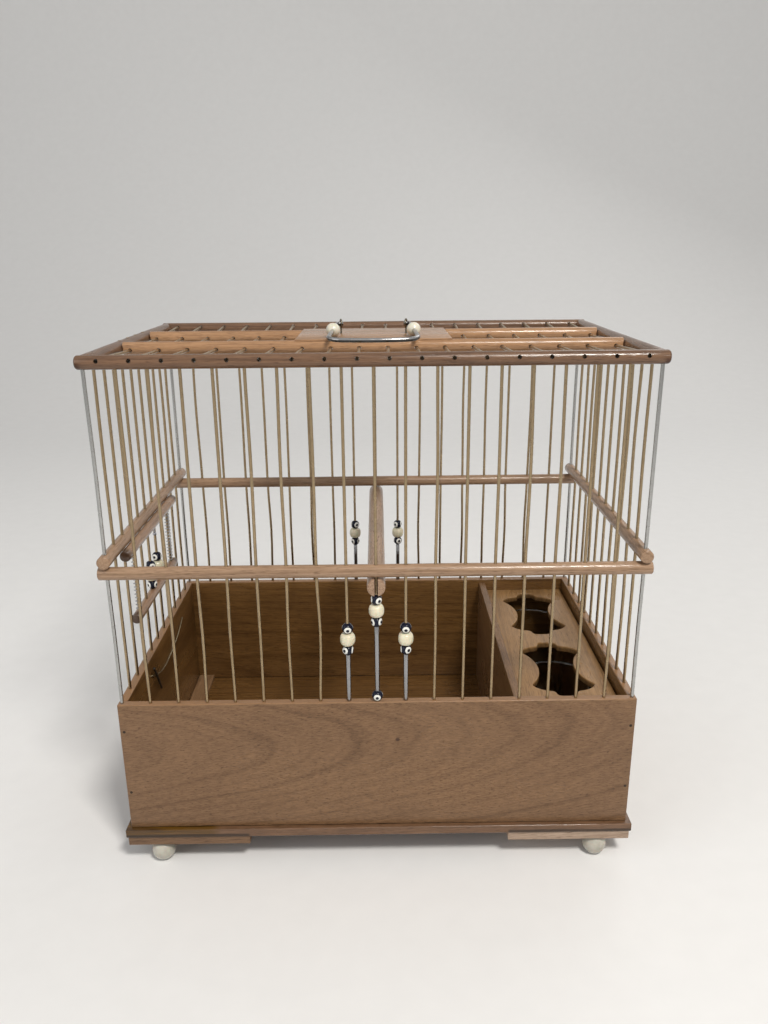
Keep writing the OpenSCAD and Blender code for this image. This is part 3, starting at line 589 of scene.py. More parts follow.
# The partition of the food compartment: a board with its top edge rounded over, glued between the
# long boards.
partition_wood = wood("partition_beech", (0.235, 0.13, 0.062), (0.115, 0.058, 0.024), "Y",
                      heart=(0.05, 0.04, -0.12), tilt=(0, -4, 0))
low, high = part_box("partition_board")
partition = plank(low, high, ease=0.3 * MM, seed=11)
select_only(partition)
for vertex in partition.data.vertices:
    if vertex.co.z > high.z - 1 * MM:
        vertex.co.z = high.z
thickness, slack = high.x - low.x, 0.2 * MM
over = partition.modifiers["eased_edges"]
over.width, over.segments, over.limit_method = thickness * 0.46, 8, "WEIGHT"
weights = partition.data.attributes.new("bevel_weight_edge", "FLOAT", "EDGE")
for edge in partition.data.edges:
    ends = [partition.data.vertices[v].co for v in edge.vertices]
    on_top = all(end.z > high.z - 0.01 * MM for end in ends)
    on_side = all(abs(abs(end.x - middle("partition_board").x) - thickness / 2) < slack for end in ends)
    lengthways = abs(ends[0].x - ends[1].x) < slack
    weights.data[edge.index].value = 1.0 if on_top and on_side and lengthways else 0.0
finished(partition, "rounded_partition", partition_wood, "cage", "varnished_beech", "partition_board")


# Two cleats on the inner faces of the compartment, glued on, that carry the cover plate. They are
# cut from the same raw beech as the lath.
low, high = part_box("cover_cleats")
cleat_width = 3.5 * MM
corners = ((low, (low.x + cleat_width, high.y, high.z)), ((high.x - cleat_width, low.y, low.z), high))
cleats = [applied(plank(start, end, ease=0.3 * MM, cuts=2)) for start, end in corners]
finished(joined(cleats), "plate_cleats", lath_wood, "cage", "pale_wood", "cover_cleats")


# The cover plate, laid loose on the cleats: thin beech with two scroll shapes cut out with a
# fretsaw, through which the bird reaches the jars.
def flowing(points, steps=3):
    """A closed run of points, with a smooth curve through them."""
    run = []
    count = len(points)
    for i in range(count):
        a, b, c, d = (Vector(points[(i + k) % count]) for k in (-1, 0, 1, 2))
        for s in range(steps):
            t = s / steps
            run.append(0.5 * (2 * b + (c - a) * t + (2 * a - 5 * b + 4 * c - d) * t * t
                              + (3 * b - 3 * c + d - a) * t ** 3))
    return run


def polyline(curve, points, closed=False):
    spline = curve.splines.new("POLY")
    spline.points.add(len(points) - 1)
    spline.use_cyclic_u = closed
    for point, spot in zip(spline.points, points):
        point.co = (*spot, 1)


def meshed(name, curve):
    select_only(added(name, curve))
    bpy.ops.object.convert(target="MESH")
    return bpy.context.object


quarter = [(0, 36.4), (3.9, 36.2), (6.4, 34.4), (7.2, 31.6), (9.2, 30.2), (12.6, 29.4), (16.2, 27.4),
           (18.9, 24.6), (19.9, 22.2), (18.6, 19.6), (16.2, 15.8), (14.1, 11.0), (12.8, 5.5), (12.3, 0)]
half = quarter + [(x, -y) for x, y in reversed(quarter[:-1])]
scroll = half + [(-x, y) for x, y in reversed(half[1:-1])]
low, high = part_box("cover_plate")
plate_top, ease = high.z, 0.5 * MM
plate_curve = bpy.data.curves.new("scroll_plate", "CURVE")
plate_curve.dimensions, plate_curve.fill_mode = "2D", "BOTH"
plate_curve.extrude = (high.z - low.z) / 2 - ease
plate_curve.bevel_depth, plate_curve.bevel_resolution = ease, 2
polyline(plate_curve, [(low.x + ease, low.y + ease, 0), (high.x - ease, low.y + ease, 0),
                       (high.x - ease, high.y - ease, 0), (low.x + ease, high.y - ease, 0)], closed=True)
for jar in ("front_jar", "rear_jar"):
    polyline(plate_curve, [(middle("front_jar").x + p.x * MM, middle(jar).y + p.y * MM, 0)
                           for p in flowing(scroll)], closed=True)
plate = meshed("scroll_plate", plate_curve)
plate.location.z = (low.z + high.z) / 2


def worn_cut(place):
    saw = noise(place, stretch=(900, 900, 60))
    inside = ramp(axes(place)[2], plate_top - 0.6 * MM, plate_top - 1.6 * MM)
    return product(inside, ramp(saw, 0.3, 0.7, 0.35, 0.75))


plate_wood = wood("cover_plate_beech", (0.385, 0.22, 0.09), (0.215, 0.115, 0.042), "Y", heart=(0.0, 0.16, 0.02),
                  tilt=(0, 2, 3), stains=((worn_cut, (0.06, 0.03, 0.012)),))
finished(plate, "scroll_plate", plate_wood, "cage", "pale_wood", "cover_plate")


# Two round glass jars on the floor of the compartment, pressed glass with a thick foot and a
# rolled rim.
def lathed(name, profile, sides, closed=False):
    """A round piece from a profile of (radius, height) points in millimetres."""
    edges = [(i, i + 1) for i in range(len(profile) - 1)]
    if closed:
        edges.append((len(profile) - 1, 0))
    mesh = bpy.data.meshes.new(name)
    mesh.from_pydata([(r * MM, 0, z * MM) for r, z in profile], edges, [])
    piece = added(name, mesh)
    turned = piece.modifiers.new("turned", "SCREW")
    turned.steps = turned.render_steps = sides
    turned.use_merge_vertices, turned.merge_threshold = True, 0.01 * MM
    applied(piece)
    editing()
    faced_out()
    return piece


glass, skin, place = new_finish("jar_glass")
ripple = noise(place, 70.0, stretch=(1, 1, 0.4))
haze = noise(place, 240.0, 3.0)
rays = shader("LightPath", tree=glass.node_tree)
passing = maths("MAXIMUM", rays.outputs["Is Shadow Ray"], rays.outputs["Is Diffuse Ray"])
feed(skin, {"Base Color": blended(haze, (0.97, 0.97, 0.95, 1), (0.93, 0.94, 0.92, 1)),
            "Roughness": ramp(haze, 0.4, 0.75, 0.02, 0.14), "Transmission Weight": 1.0,
            "IOR": 1.5, "Alpha": maths("SUBTRACT", 1.0, passing)})
bumped(skin, ripple, 0.25, 0.6 * MM)
jar_profile = [(0, 0.9), (8, 0.5), (17, 0.0), (21.5, 0.0), (24.2, 1.6), (24.6, 5), (24.4, 30),
               (24.4, 62), (24.7, 65.6), (25.0, 67), (24.6, 68.4), (23.6, 69.0), (22.8, 68.4),
               (22.4, 66), (22.3, 60), (22.3, 30), (22.2, 7), (20.4, 3.8), (14, 3.1), (0, 3.0)]
for node in ("front_jar", "rear_jar"):
    jar = lathed(node, jar_profile, 64)
    smoother = jar.modifiers.new("smoother", "SUBSURF")
    smoother.levels = smoother.render_levels = 1
    jar.location = (middle(node).x, middle(node).y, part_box(node)[0].z)
    finished(jar, "glass_" + node, glass, "cage", "glass", node, smooth=80)


# The frame of round beech dowels. Each is sanded by hand, so it is a little uneven, and drilled
# for the wires. The long top ones have burnt, glue-stained ends where the corner wires come in.
def rod(node, along, seed, uneven=0.05 * MM, ease=0.7 * MM, radius=None):
    """The round rod of a node, as long and as thick as its box, bent a little at random."""
    chance = random.Random(seed)
    low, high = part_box(node)
    length, steps = (high - low)["XY".index(along)], 18
    piece = primitive("circle", vertices=40, radius=radius or half_height(node), fill_type="NGON",
                      location=(-length / 2, 0, 0), rotation=ALONG_X)
    editing()
    for step in range(steps):
        bpy.ops.mesh.extrude_region_move(TRANSFORM_OT_translate={"value": (length / steps, 0, 0)})
        if step < steps - 1:
            sway = chance.uniform(-uneven, uneven), chance.uniform(-uneven, uneven)
            bpy.ops.transform.translate(value=(0, *sway))
    faced_out()
    bpy.ops.object.transform_apply(location=True, rotation=True)
    piece.rotation_euler = TURNS[along]
    piece.location = middle(node)
    return rounded(piece, ease)


dowel_pale, dowel_dark = (0.40, 0.26, 0.165), (0.215, 0.13, 0.075)
# The top rods are painted darker than the other rods: painted shade on their front faces.
shaded_top_pale, shaded_top_dark = (0.200, 0.110, 0.062), (0.090, 0.046, 0.025)
dowel_look = {"ring_width": 0.003, "rings": 0.35, "flecks": 0.5, "roughness": 0.22}
mid_wood = wood("long_dowel_beech", dowel_pale, dowel_dark, "X", heart=(0, 0.004, 0.012),
                wire_shade_of=along_front, **dowel_look)
side_wood = wood("side_dowel_beech", dowel_pale, dowel_dark, "Y", heart=(0, 0.006, 0.01),
                 wire_shade_of=along_side, **dowel_look)
side_top_wood = wood("side_top_dowel_beech", shaded_top_pale, shaded_top_dark, "Y", heart=(0, 0.006, 0.01),
                     wire_shade_of=along_side, **dowel_look)
for node, along, finish, seed in (
        ("front_mid_dowel", "X", mid_wood, 21), ("back_mid_dowel", "X", mid_wood, 22),
        ("left_mid_dowel", "Y", side_wood, 23), ("right_mid_dowel", "Y", side_wood, 24),
        ("left_top_dowel", "Y", side_top_wood, 25), ("right_top_dowel", "Y", side_top_wood, 26)):
    finished(rod(node, along, seed), node.replace("dowel", "rod"), finish, "cage", "varnished_beech", node)


def burnt_ends(place):
    smoke = noise(place, 320.0, 3.0)
    x, y, z = axes(place)
    outwards = maths("MULTIPLY_ADD", smoke, 6 * MM, past(x, side_line))
    height = maths("MULTIPLY_ADD", smoke, 4 * MM, z)
    return product(ramp(outwards, 1 * MM, 4.5 * MM), ramp(height, top_line + 2.6 * MM, top_line + 0.8 * MM))


def dark_bores(line, height, radius):
    """The walls of the holes in a rod along X, which no light reaches."""
    def mask(place):
        x, y, z = axes(place)
        depth = distance(past(y, line), maths("SUBTRACT", z, height))
        return ramp(depth, radius - 0.35 * MM, radius - 0.8 * MM)
    return mask


def cut(piece, tools, use_self=False):
    """Takes the tools out of a piece."""
    tool = joined(tools)
    away = piece.modifiers.new("away", "BOOLEAN")
    away.object, away.operation, away.solver, away.use_self = tool, "DIFFERENCE", "EXACT", use_self
    applied(piece)
    bpy.data.objects.remove(tool)
    return piece


def drilled(piece, height, radius):
    """Opens the holes of the roof wires in a rod along X."""
    return cut(piece, [primitive("cylinder", vertices=20, radius=radius, depth=20 * MM,
                                 location=(x, piece.location.y, height), rotation=ALONG_Y)
                       for x in roof_columns])


roof_columns = [(k - 8.5) * front_pitch for k in range(18)]
long_top_wood = wood(
    "top_dowel_beech", shaded_top_pale, shaded_top_dark, "X", heart=(0.1, 0.005, 0.012),
    wire_shade_of=((0, 2), front_pitch, 0.5, roof_line, wire_shade_radius),
    stains=((burnt_ends, (0.06, 0.02, 0.006)),
            (dark_bores(front_line, top_line, half_height("front_top_dowel")), (0.02, 0.01, 0.006))),
    **dowel_look)
for node, seed in (("front_top_dowel", 27), ("back_top_dowel", 28)):
    finished(drilled(rod(node, "X", seed, ease=1.5 * MM), roof_line, 1.12 * MM), node.replace("dowel", "rod"),
             long_top_wood, "cage", "varnished_beech", node)


# Two bars across the roof, glued at their ends to the side dowels, with a dark seam of glue. The
# wires run through holes that are a little wide and a little low, so the wires dip to them.
def glue_seam(place):
    x, y, z = axes(place)
    apart = distance(past(x, side_line), maths("SUBTRACT", z, top_line))
    apart = maths("MULTIPLY_ADD", noise(place, 500.0), -0.9 * MM, apart)
    return ramp(apart, bar_radius + 0.45 * MM, bar_radius + 0.1 * MM)


bar_radius, bar_y = half_height("front_roof_bar"), middle("rear_roof_bar").y
wire_dip = 1.9 * MM
roof_pale, roof_dark = (0.43, 0.245, 0.128), (0.235, 0.125, 0.06)
bar_wood = wood(
    "roof_bar_beech", roof_pale, roof_dark, "X", heart=(0.05, 0.006, 0.009),
    wire_shade_of=((0, 2), front_pitch, 0.5, roof_line - wire_dip, wire_shade_radius),
    stains=((glue_seam, (0.05, 0.02, 0.008)),
            (dark_bores(bar_y, top_line, bar_radius), (0.03, 0.015, 0.008))), **dowel_look)
for node, seed in (("front_roof_bar", 29), ("rear_roof_bar", 30)):
    bar = drilled(rod(node, "X", seed, uneven=0.03 * MM, ease=0.3 * MM), roof_line - wire_dip, 1.2 * MM)
    finished(bar, node.replace("bar", "rod"), bar_wood, "cage", "varnished_beech", node)


# The handle board, let in between the two roof bars. It lies over the wires, which run in saw
# kerfs in its underside.
board_wood = wood("handle_board_beech", roof_pale, roof_dark, "X", heart=(0.02, 0.1, 0.03), tilt=(0, 3, 2))
low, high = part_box("handle_board")
board = plank(low, high, cuts=1, unevenness=0)
board.modifiers.clear()
kerf_width, kerf_top, spare = 2.0 * MM, roof_line + 1 * MM, 10 * MM
kerfs = []
for x in roof_columns[6:12]:
    kerf = primitive("cube", size=1, location=(x, 0, (low.z - spare + kerf_top) / 2))
    kerf.scale = (kerf_width, high.y - low.y + spare, kerf_top - low.z + spare)
    kerfs.append(kerf)
for node in ("front_roof_bar", "rear_roof_bar"):
    kerfs.append(primitive("cylinder", vertices=64, radius=half_height(node) + 0.03 * MM, depth=0.2,
                           location=middle(node), rotation=ALONG_X))
finished(rounded(cut(board, kerfs, use_self=True), 0.25 * MM, 2), "let_in_board", board_wood, "cage",
         "varnished_beech", "handle_board")


# Wires of the walls and roof: drawn brass, cut to length and pushed into the holes. Each is bowed
# a little between its supports, and dull with handling.
def drawn_wire(length, radius, rings=16, sides=10):
    """A straight wire along Z from the origin."""
    piece = primitive("circle", vertices=sides, radius=radius, fill_type="NGON")
    editing()
    for ring in range(rings):
        bpy.ops.mesh.extrude_region_move(TRANSFORM_OT_translate={"value": (0, 0, length / rings)})
    faced_out()
    return piece


def wire_row(feet, low_z, high_z, supports, radius=None, bow=0.35 * MM, straight=(), cut_short=0.0):
    """One wire on each foot, bowed at random between the supports, unless it is numbered in straight."""
    model = drawn_wire(high_z - low_z, radius or wire_radius)
    wires = []
    for number, foot in enumerate(feet):
        bows = [(chance.gauss(0, bow), chance.gauss(0, bow)) for _ in range(len(supports) - 1)]
        short = chance.uniform(0, cut_short), chance.uniform(0, cut_short)
        wire = added("wire", model.data.copy())
        for vertex in wire.data.vertices:
            z = vertex.co.z + low_z
            shift = Vector((foot[0], foot[1], 0))
            for (start, end), (bow_x, bow_y) in zip(zip(supports, supports[1:]), bows):
                if start < z < end and number not in straight:
                    swell = math.sin(math.pi * (z - start) / (end - start)) ** 2
                    shift += Vector((bow_x, bow_y, 0)) * swell
            shift.z = low_z
            if z < low_z + end_slack:
                shift.z += short[0]
            if z > high_z - end_slack:
                shift.z -= short[1]
            vertex.co += shift
        wires.append(wire)
    bpy.data.objects.remove(model)
    return joined(wires)


def side_feet(x, numbers):
    return [(x, (number - 5.5) * side_pitch) for number in numbers]


def painted_shade(finish, source, axis, lit_at, dark_at, tint):
    """Paints shade on a metal, darker as a coordinate goes from one value to another. Y is taken without its
    sign.
    """
    skin = finish.node_tree.nodes["Principled BSDF"]
    value = axes(shader("TexCoord", tree=finish.node_tree).outputs[source])["XYZ".index(axis)]
    if axis == "Y":
        value = maths("ABSOLUTE", value)
    unshaded = skin.inputs["Base Color"].links[0].from_socket
    shade_amount = ramp(value, lit_at, dark_at, 0.0, 0.9)
    feed(skin, {"Base Color": blended(shade_amount, unshaded, (*tint, 1))})


chance, end_slack = random.Random(11), 0.001 * MM
brass_tint = (0.37, 0.28, 0.17)
brass = metal("drawn_brass", brass_tint, 0.24, amount=0.15)
low_z, high_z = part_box("front_wires")[0].z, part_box("front_wires")[1].z
supports = (rim_z, middle("front_mid_dowel").z, top_line)
side_supports = (rim_z, middle("left_mid_dowel").z, top_line)
perch_three, guides = (7, 8, 9), (2, 3)
for node, y in (("front_wires", -front_line), ("back_wires", front_line)):
    feet = [((k - 9) * front_pitch, y) for k in range(1, 18)]
    finished(wire_row(feet, low_z, high_z, supports, straight=perch_three), "brass_" + node, brass, "cage",
             "brass_wire", node)
for node, x, numbers, straight in (("right_wires", side_line, range(1, 11), ()),
                                   ("left_wires", -side_line, (1, 2, 3, 8, 9, 10), guides)):
    row = wire_row(side_feet(x, numbers), low_z, high_z, side_supports, straight=straight)
    finished(row, "brass_" + node, brass, "cage", "brass_wire", node)
corner_steel = metal("corner_steel", (0.42, 0.42, 0.41), 0.15, amount=0.1)
corner_radius = (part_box("corner_wires")[1].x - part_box("corner_wires")[0].x) / 2 - side_line
feet = [(x, y) for x in (-side_line, side_line) for y in (-front_line, front_line)]
row = wire_row(feet, low_z, high_z, supports, corner_radius, bow=0.15 * MM)
finished(row, "steel_corner_wires", corner_steel, "cage", "steel", "corner_wires")
roof_low, roof_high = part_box("roof_wires")
row = wire_row([(x, -roof_line) for x in roof_columns], roof_low.y, roof_high.y,
               (-front_line, -bar_y, bar_y, front_line), bow=0.12 * MM, cut_short=4.0 * MM)
for vertex in row.data.vertices:
    inwards = min(1.0, max(0.0, (front_line - abs(vertex.co.z)) / (front_line - bar_y)))
    vertex.co.y += wire_dip * inwards * inwards * (3 - 2 * inwards)
row.rotation_euler = (math.radians(-90), 0, 0)
roof_brass = metal("roof_brass", brass_tint, 0.24, amount=0.15)
# The ends of the roof wires, deep in their holes, are painted dark as shade.
painted_shade(roof_brass, "Object", "Y", front_line - 2 * MM, front_line - 1 * MM, (0.035, 0.022, 0.012))
finished(row, "brass_roof_wires", roof_brass, "cage", "brass_wire", "roof_wires")


# The perch, a thicker round rod from front to back. A saw cut in each end grips the centre wire
# of that wall.
perch_wood = wood("perch_beech", (0.42, 0.285, 0.195), (0.27, 0.165, 0.10), "Y", heart=(0, 0.003, 0.006),
                  ring_width=0.0022, rings=0.5, flecks=0.9)
low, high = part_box("perch")
slots = []
for y in (low.y, high.y):
    slot = primitive("cube", size=1, location=(0, y, middle("perch").z))
    slot.scale = (1.9 * MM, 13 * MM, 14 * MM)
    slots.append(slot)
perch = cut(rod("perch", "Y", 31, uneven=0.04 * MM, radius=(high.x - low.x) / 2), slots)
finished(perch, "sawn_perch", perch_wood, "cage", "varnished_beech", "perch")


# Bead stacks on the wires of the front and back wall: dark glass beads with three painted eyes,
# cream plastic barrel beads, and short steel tubes. The centre ones hold up the perch.
def bored(piece, half_length):
    """Cuts a bead flat at both ends and opens its hole."""
    select_only(piece)
    bpy.ops.object.mode_set(mode="EDIT")
    for side in (-1, 1):
        bpy.ops.mesh.select_all(action="SELECT")
        bpy.ops.mesh.bisect(plane_co=(0, 0, side * half_length), plane_no=(0, 0, side), clear_outer=True)
    bpy.ops.mesh.select_all(action="DESELECT")
    bpy.ops.mesh.select_mode(type="EDGE")
    bpy.ops.mesh.select_non_manifold()
    bpy.ops.mesh.extrude_region_move()
    bpy.ops.transform.resize(value=(0.9, 0.9, 0.98))
    bpy.ops.mesh.bridge_edge_loops()
    faced_out()
    return piece


low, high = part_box("front_left_eye_beads")
bore, eye_radius = 1.0 * MM, (high.x - low.x) / 2
eye_half = math.sqrt(eye_radius ** 2 - bore ** 2)
eye_model = bored(ball(eye_radius), eye_half)
half, belly, reach, fullness = half_height("front_left_cream_bead") / MM, 4.4, 4.3, 2.5
barrel = []
for i in range(21):
    height = half * (i / 10 - 1)
    barrel.append((belly * (1 - abs(height / reach) ** fullness) ** (1 / fullness), height))
edge, lip_in, lip_up = barrel[0][0], 0.25, 0.12
lip = [(bore / MM, -half), (edge - lip_in, -half), (edge, -half + lip_up)]
barrel = lip + barrel[1:-1] + [(radius, -height) for radius, height in reversed(lip)]
cream_model = lathed("barrel", barrel, 40, closed=True)

eye_glass, skin, place = new_finish("eye_glass")
side = shader("Attribute", tree=eye_glass.node_tree, attribute_name="eye_side").outputs["Vector"]
gaps = []
for angle in (0, 120, 240):
    facing = (math.sin(math.radians(angle)), -math.cos(math.radians(angle)), 0)
    gaps.append(shader("VectorMath", {0: side, 1: facing}, operation="DISTANCE").outputs["Value"])
nearest = maths("MINIMUM", maths("MINIMUM", gaps[0], gaps[1]), gaps[2])
wobble = noise(place, 900.0)
nearest = maths("MULTIPLY_ADD", wobble, 0.10, nearest)
white = ramp(nearest, 0.745, 0.70)
pupil = ramp(nearest, 0.38, 0.335)
colour = blended(white, (0.006, 0.008, 0.020, 1), (0.78, 0.78, 0.74, 1))
colour = blended(pupil, colour, (0.006, 0.007, 0.018, 1))
feed(skin, {"Base Color": colour, "Roughness": ramp(wobble, 0.2, 0.8, 0.10, 0.2),
            "Specular IOR Level": 0.22})
bumped(skin, white, 0.5, 0.2 * MM)
bead_cream = cream_plastic("bead_cream", (0.74, 0.69, 0.52), (0.62, 0.56, 0.40))


def bead(model, centre, turn=0.0, nod=0.0):
    piece = added("bead", model.data.copy())
    if model is eye_model:
        facing = piece.data.attributes.new("eye_side", "FLOAT_VECTOR", "POINT")
        turning = Matrix.Rotation(math.radians(turn), 3, "Z")
        nodding = Matrix.Rotation(math.radians(nod), 3, "X")
        back = (turning @ nodding).inverted()
        for vertex in piece.data.vertices:
            facing.data[vertex.index].vector = back @ (vertex.co / eye_radius)
    piece.location = centre
    select_only(piece)
    bpy.ops.object.transform_apply(location=True)
    return piece


def strung(eyes, barrels, body, eye_node, cream_node):
    """Joins the eye beads of a stack into one piece and its cream beads into another."""
    finished(joined(eyes), eye_node.replace("eye_beads", "glass_eyes"), eye_glass, body, "eye_bead", eye_node)
    finished(joined(barrels), cream_node.replace("bead", "barrel"), bead_cream, body, "cream_bead", cream_node)


def tube(node):
    """The tubes of a node, each with a turned-in rim."""
    low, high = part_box(node)
    radius = (high.x - low.x) / 2
    rows = {round(low.y + radius, 6), round(high.y - radius, 6)}
    parts = []
    for y in sorted(rows):
        part = primitive("cylinder", vertices=24, radius=radius, depth=high.z - low.z,
                         location=(middle(node).x, y, middle(node).z))
        parts.append(applied(rounded(part, 0.25 * MM, 2)))
    return joined(parts)


tube_steel = metal("tube_steel", (0.34, 0.34, 0.35), 0.13, amount=0.1)
side_turns = {"front_left": (4, -40), "front_right": (0, 32), "back_left": (150, 70), "back_right": (200, 20)}
for stack, (high_turn, low_turn) in side_turns.items():
    body, eye_node = stack + "_stack", stack + "_eye_beads"
    low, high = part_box(eye_node)
    x, y = middle(eye_node).x, middle(eye_node).y
    eyes = [bead(eye_model, (x, y, high.z - eye_half), high_turn, 10),
            bead(eye_model, (x, y, low.z + eye_half), low_turn, -4)]
    barrels = [bead(cream_model, middle(stack + "_cream_bead"))]
    strung(eyes, barrels, body, eye_node, stack + "_cream_bead")
    finished(tube(stack + "_tube"), stack + "_steel_tube", tube_steel, body, "steel", stack + "_tube")

eyes, barrels = [], []
low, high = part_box("centre_eye_beads")
under_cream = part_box("centre_cream_beads")[0].z - 0.04 * MM
for y, turns in ((-front_line, (-3, 60, 35)), (front_line, (170, 230, 200))):
    eyes += [bead(eye_model, (0, y, low.z + eye_half), turns[0], 6),
             bead(eye_model, (0, y, under_cream - eye_half), turns[1], -3),
             bead(eye_model, (0, y, high.z - eye_half), turns[2], 4)]
    barrels.append(bead(cream_model, (0, y, middle("centre_cream_beads").z)))
strung(eyes, barrels, "cage", "centre_eye_beads", "centre_cream_beads")
finished(tube("centre_tubes"), "centre_steel_tubes", tube_steel, "cage", "steel", "centre_tubes")


# The lifting gate in the left wall: a scorched, varnished rail on four long wires, with beads on
# the two middle ones.
def scorched_ends(node):
    half_length = (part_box(node)[1].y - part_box(node)[0].y) / 2

    def mask(place):
        x, y, z = axes(place)
        outwards = past(maths("SUBTRACT", y, middle(node).y), half_length)
        outwards = maths("MULTIPLY_ADD", noise(place, 200.0), 10 * MM, outwards)
        return ramp(outwards, -4 * MM, 4 * MM, 0.0, 0.9)
    return mask


for node, name, body, seed in (("gate_rail", "scorched_rail", "gate", 41),
                               ("stop_bar", "scorched_stop_bar", "cage", 42)):
    finish = wood(node + "_beech", (0.36, 0.215, 0.125), (0.20, 0.11, 0.06), "Y", heart=(0, 0.004, 0.01),
                  ring_width=0.003, coat=0.5, stains=((scorched_ends(node), (0.04, 0.018, 0.008)),))
    finished(rod(node, "Y", seed), name, finish, body, "dark_wood", node)
low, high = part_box("gate_wires")
row = wire_row(side_feet(-side_line, (4, 5, 6, 7)), low.z, high.z, (low.z, side_supports[1], high.z), bow=0)
finished(row, "brass_gate_wires", brass, "gate", "brass_wire", "gate_wires")
low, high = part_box("gate_eye_beads")
eyes, barrels = [], []
for (x, y), turns in zip(side_feet(-side_line, (5, 6)), ((75, 40), (60, 100))):
    eyes += [bead(eye_model, (x, y, low.z + eye_half), turns[0]),
             bead(eye_model, (x, y, high.z - eye_half), turns[1], 5)]
    barrels.append(bead(cream_model, (x, y, middle("gate_cream_beads").z)))
strung(eyes, barrels, "gate", "gate_eye_beads", "gate_cream_beads")
bpy.data.objects.remove(eye_model)
bpy.data.objects.remove(cream_model)


# Coil springs on the two guide wires, wound from thin steel. They reach from the rail to the mid
# dowel.
def bent_rod(name, runs, radius, resolution=3):
    """Round rod along each run of points, as one mesh."""
    curve = bpy.data.curves.new(name, "CURVE")
    curve.dimensions, curve.bevel_depth, curve.bevel_resolution = "3D", radius, resolution
    curve.use_fill_caps = True
    for run in runs:
        polyline(curve, run)
    return meshed(name, curve)


low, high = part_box("gate_springs")
coil_radius, coil_wire, curls = 1.6 * MM, 0.35 * MM, 20
steps = curls * 20
runs = []
for x, y in side_feet(-side_line, (3, 8)):
    run = []
    for i in range(steps + 1):
        angle = math.radians(90) + 2 * math.pi * curls * i / steps
        rise = low.z + coil_wire + (high.z - low.z - 2 * coil_wire) * i / steps
        run.append((x + coil_radius * math.cos(angle), y + coil_radius * math.sin(angle), rise))
    runs.append(run)
spring_steel = metal("spring_steel", (0.42, 0.42, 0.43), 0.3)
springs = finished(bent_rod("coil", runs, coil_wire, 2), "coil_springs", spring_steel, None, "steel",
                   "gate_springs")
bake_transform(springs)


# Two round-headed pins in the underside of the stop bar. Each is a ball of steel on a short neck
# and hangs just below the bar.
pin_radius, neck_radius = 1.2 * MM, 0.5 * MM
low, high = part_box("stop_bar_pins")
x = (low.x + high.x) / 2
pins = []
for y in (low.y + pin_radius, high.y - pin_radius):
    heart = (x, y, low.z + pin_radius)
    pins += [ball(pin_radius, 24, 16, location=heart), bent_rod("neck", [[heart, (x, y, high.z)]], neck_radius)]
pin_steel = metal("pin_steel", (0.34, 0.35, 0.38), 0.22, amount=0.2)
finished(joined(pins), "ball_headed_pins", pin_steel, "cage", "dark_pin", "stop_bar_pins")


# A thin wire that sags across the inner face of the left board, hooked in at both ends, with a
# dark pin hung on it.
wire_x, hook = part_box("left_board_catch")[0].x + 3.0 * MM, 2.4 * MM
start_y, end_y, span_z, deepest = -41.0 * MM, 48.0 * MM, rim_z - 11 * MM, 10.5 * MM
run = [(wire_x - hook, start_y, span_z)]
for i in range(25):
    t = i / 24
    sag = deepest * math.sin(math.pi * t ** 0.9)
    run.append((wire_x + 0.3 * MM * math.sin(9 * t), start_y + (end_y - start_y) * t, span_z - sag))
run.append((wire_x - hook, end_y, span_z))
sagging = bent_rod("sag", [run], 0.45 * MM)
pin_run = ((1.1, -37.8, 7), (1.1, -31.5, 17.5), (1.0, -25.0, 28.5))
pin_run = [(wire_x + out * MM, y * MM, rim_z - down * MM) for out, y, down in pin_run]
hung = bent_rod("pin", [pin_run], 0.75 * MM)
sagging.data.materials.append(metal("catch_wire", (0.36, 0.30, 0.20), 0.35))
hung.data.materials.append(metal("black_pin", (0.10, 0.095, 0.09), 0.4))
finished(joined([sagging, hung]), "sagging_wire", None, "cage", "brass_wire", "left_board_catch")


# The handle: a bail bent from steel rod, folded down to the front, with a cream bead on each arm,
# and its ends turned in two screw eyes.
eye_low, eye_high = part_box("handle_eyes")
pivot_z = next(joint for joint in frame["joints"] if joint["name"] == "bail_swing")["pos_m"][2]
eye_wire, ring_offset, ring_turn, ring_steps = 0.55 * MM, 0.7 * MM, math.radians(12), 40
ring_radius = (eye_high.y - eye_low.y) / 2 - eye_wire
eye_x = (eye_high.x - eye_low.x) / 2 - ring_offset
runs = []
for x, turned in ((-eye_x, 1), (eye_x, -1)):
    run = [(x, 0, eye_low.z), (x, 0, pivot_z - ring_radius - 1.4 * MM),
           (x, 0.1 * MM, pivot_z - ring_radius - 0.5 * MM)]
    for i in range(ring_steps + 1):
        angle = math.radians(-76 - 338 * i / ring_steps)
        aside = ring_radius * math.cos(angle)
        run.append((x + 0.25 * MM * (i / ring_steps - 0.5) - turned * aside * math.sin(ring_turn),
                    aside * math.cos(ring_turn), pivot_z + ring_radius * math.sin(angle)))
    runs.append(run)
eye_steel = metal("screw_eye_steel", (0.17, 0.15, 0.115), 0.2)
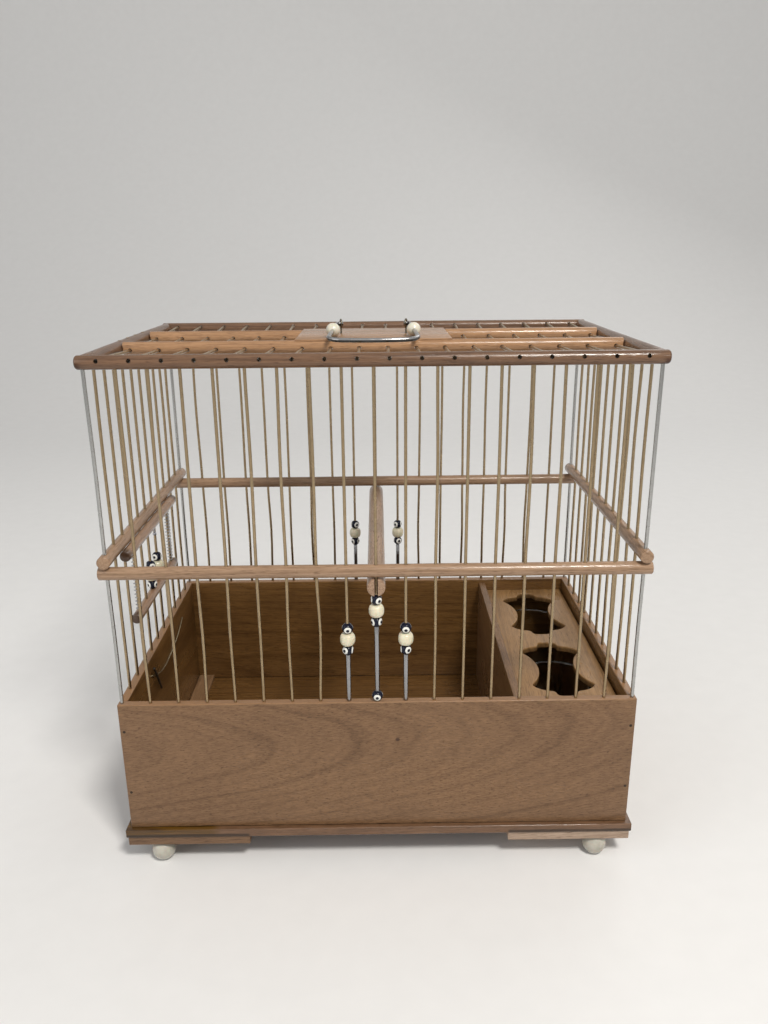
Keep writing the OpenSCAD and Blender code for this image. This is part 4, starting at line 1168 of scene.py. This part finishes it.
finished(bent_rod("eyes", runs, eye_wire, 4), "bent_screw_eyes", eye_steel, "cage", "steel", "handle_eyes")

bail_radius, foot_x, foot_stub, foot_bend = 1.3 * MM, 22.5 * MM, 3.8 * MM, 2.0 * MM
grip_x, reach, bend, bow = 25.5 * MM, 54.0 * MM, 9.0 * MM, 1.3 * MM
rest_angle, flare, right_angle = math.radians(4.599), math.radians(3.84), math.radians(90)
half_run = [(foot_x - foot_stub, 0)]
for i in range(9):
    a = (right_angle - flare) * i / 8
    half_run.append((foot_x - foot_bend * (1 - math.sin(a)) + 0.13 * MM, -foot_bend * (1 - math.cos(a))))
bend_x, bend_y = grip_x - bend, -(reach - bend)
for i in range(13):
    a = flare - (flare + right_angle) * i / 12
    half_run.append((bend_x + bend * math.cos(a), bend_y + bend * math.sin(a)))
half_run += [(bend_x * t, -reach - bow * (1 - t * t)) for t in (0.75, 0.5, 0.25, 0)]
run = half_run + [(-x, y) for x, y in reversed(half_run[:-1])]
bail_steel = metal("bail_steel", (0.36, 0.36, 0.365), 0.13, amount=0.12)
# The underside of the bail is painted dark as shade.
painted_shade(bail_steel, "Normal", "Z", 0.45, -0.25, (0.035, 0.034, 0.032))
bail = bent_rod("bail", [[(x, y, 0) for x, y in run]], bail_radius, 5)
bail.rotation_euler = (rest_angle, 0, 0)
bail.location = (0, 0, pivot_z)
finished(bail, "bent_bail", bail_steel, "bail", "steel", "handle_bail")

ball_x, ball_radius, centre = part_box("handle_beads")[1].x, half_height("handle_beads"), middle("handle_beads")
balls = []
for side in (-1, 1):
    piece = bored(ball(ball_radius), ball_radius * 0.94)
    piece.rotation_euler = (right_angle + rest_angle, 0, side * flare)
    piece.location = (side * (ball_x - ball_radius), centre.y, centre.z)
    select_only(piece)
    bpy.ops.object.transform_apply(location=True, rotation=True)
    balls.append(piece)
ball_cream = cream_plastic("ball_cream", (0.70, 0.67, 0.56), (0.56, 0.53, 0.43))
finished(joined(balls), "cream_bail_beads", ball_cream, "bail", "cream_bead", "handle_beads")
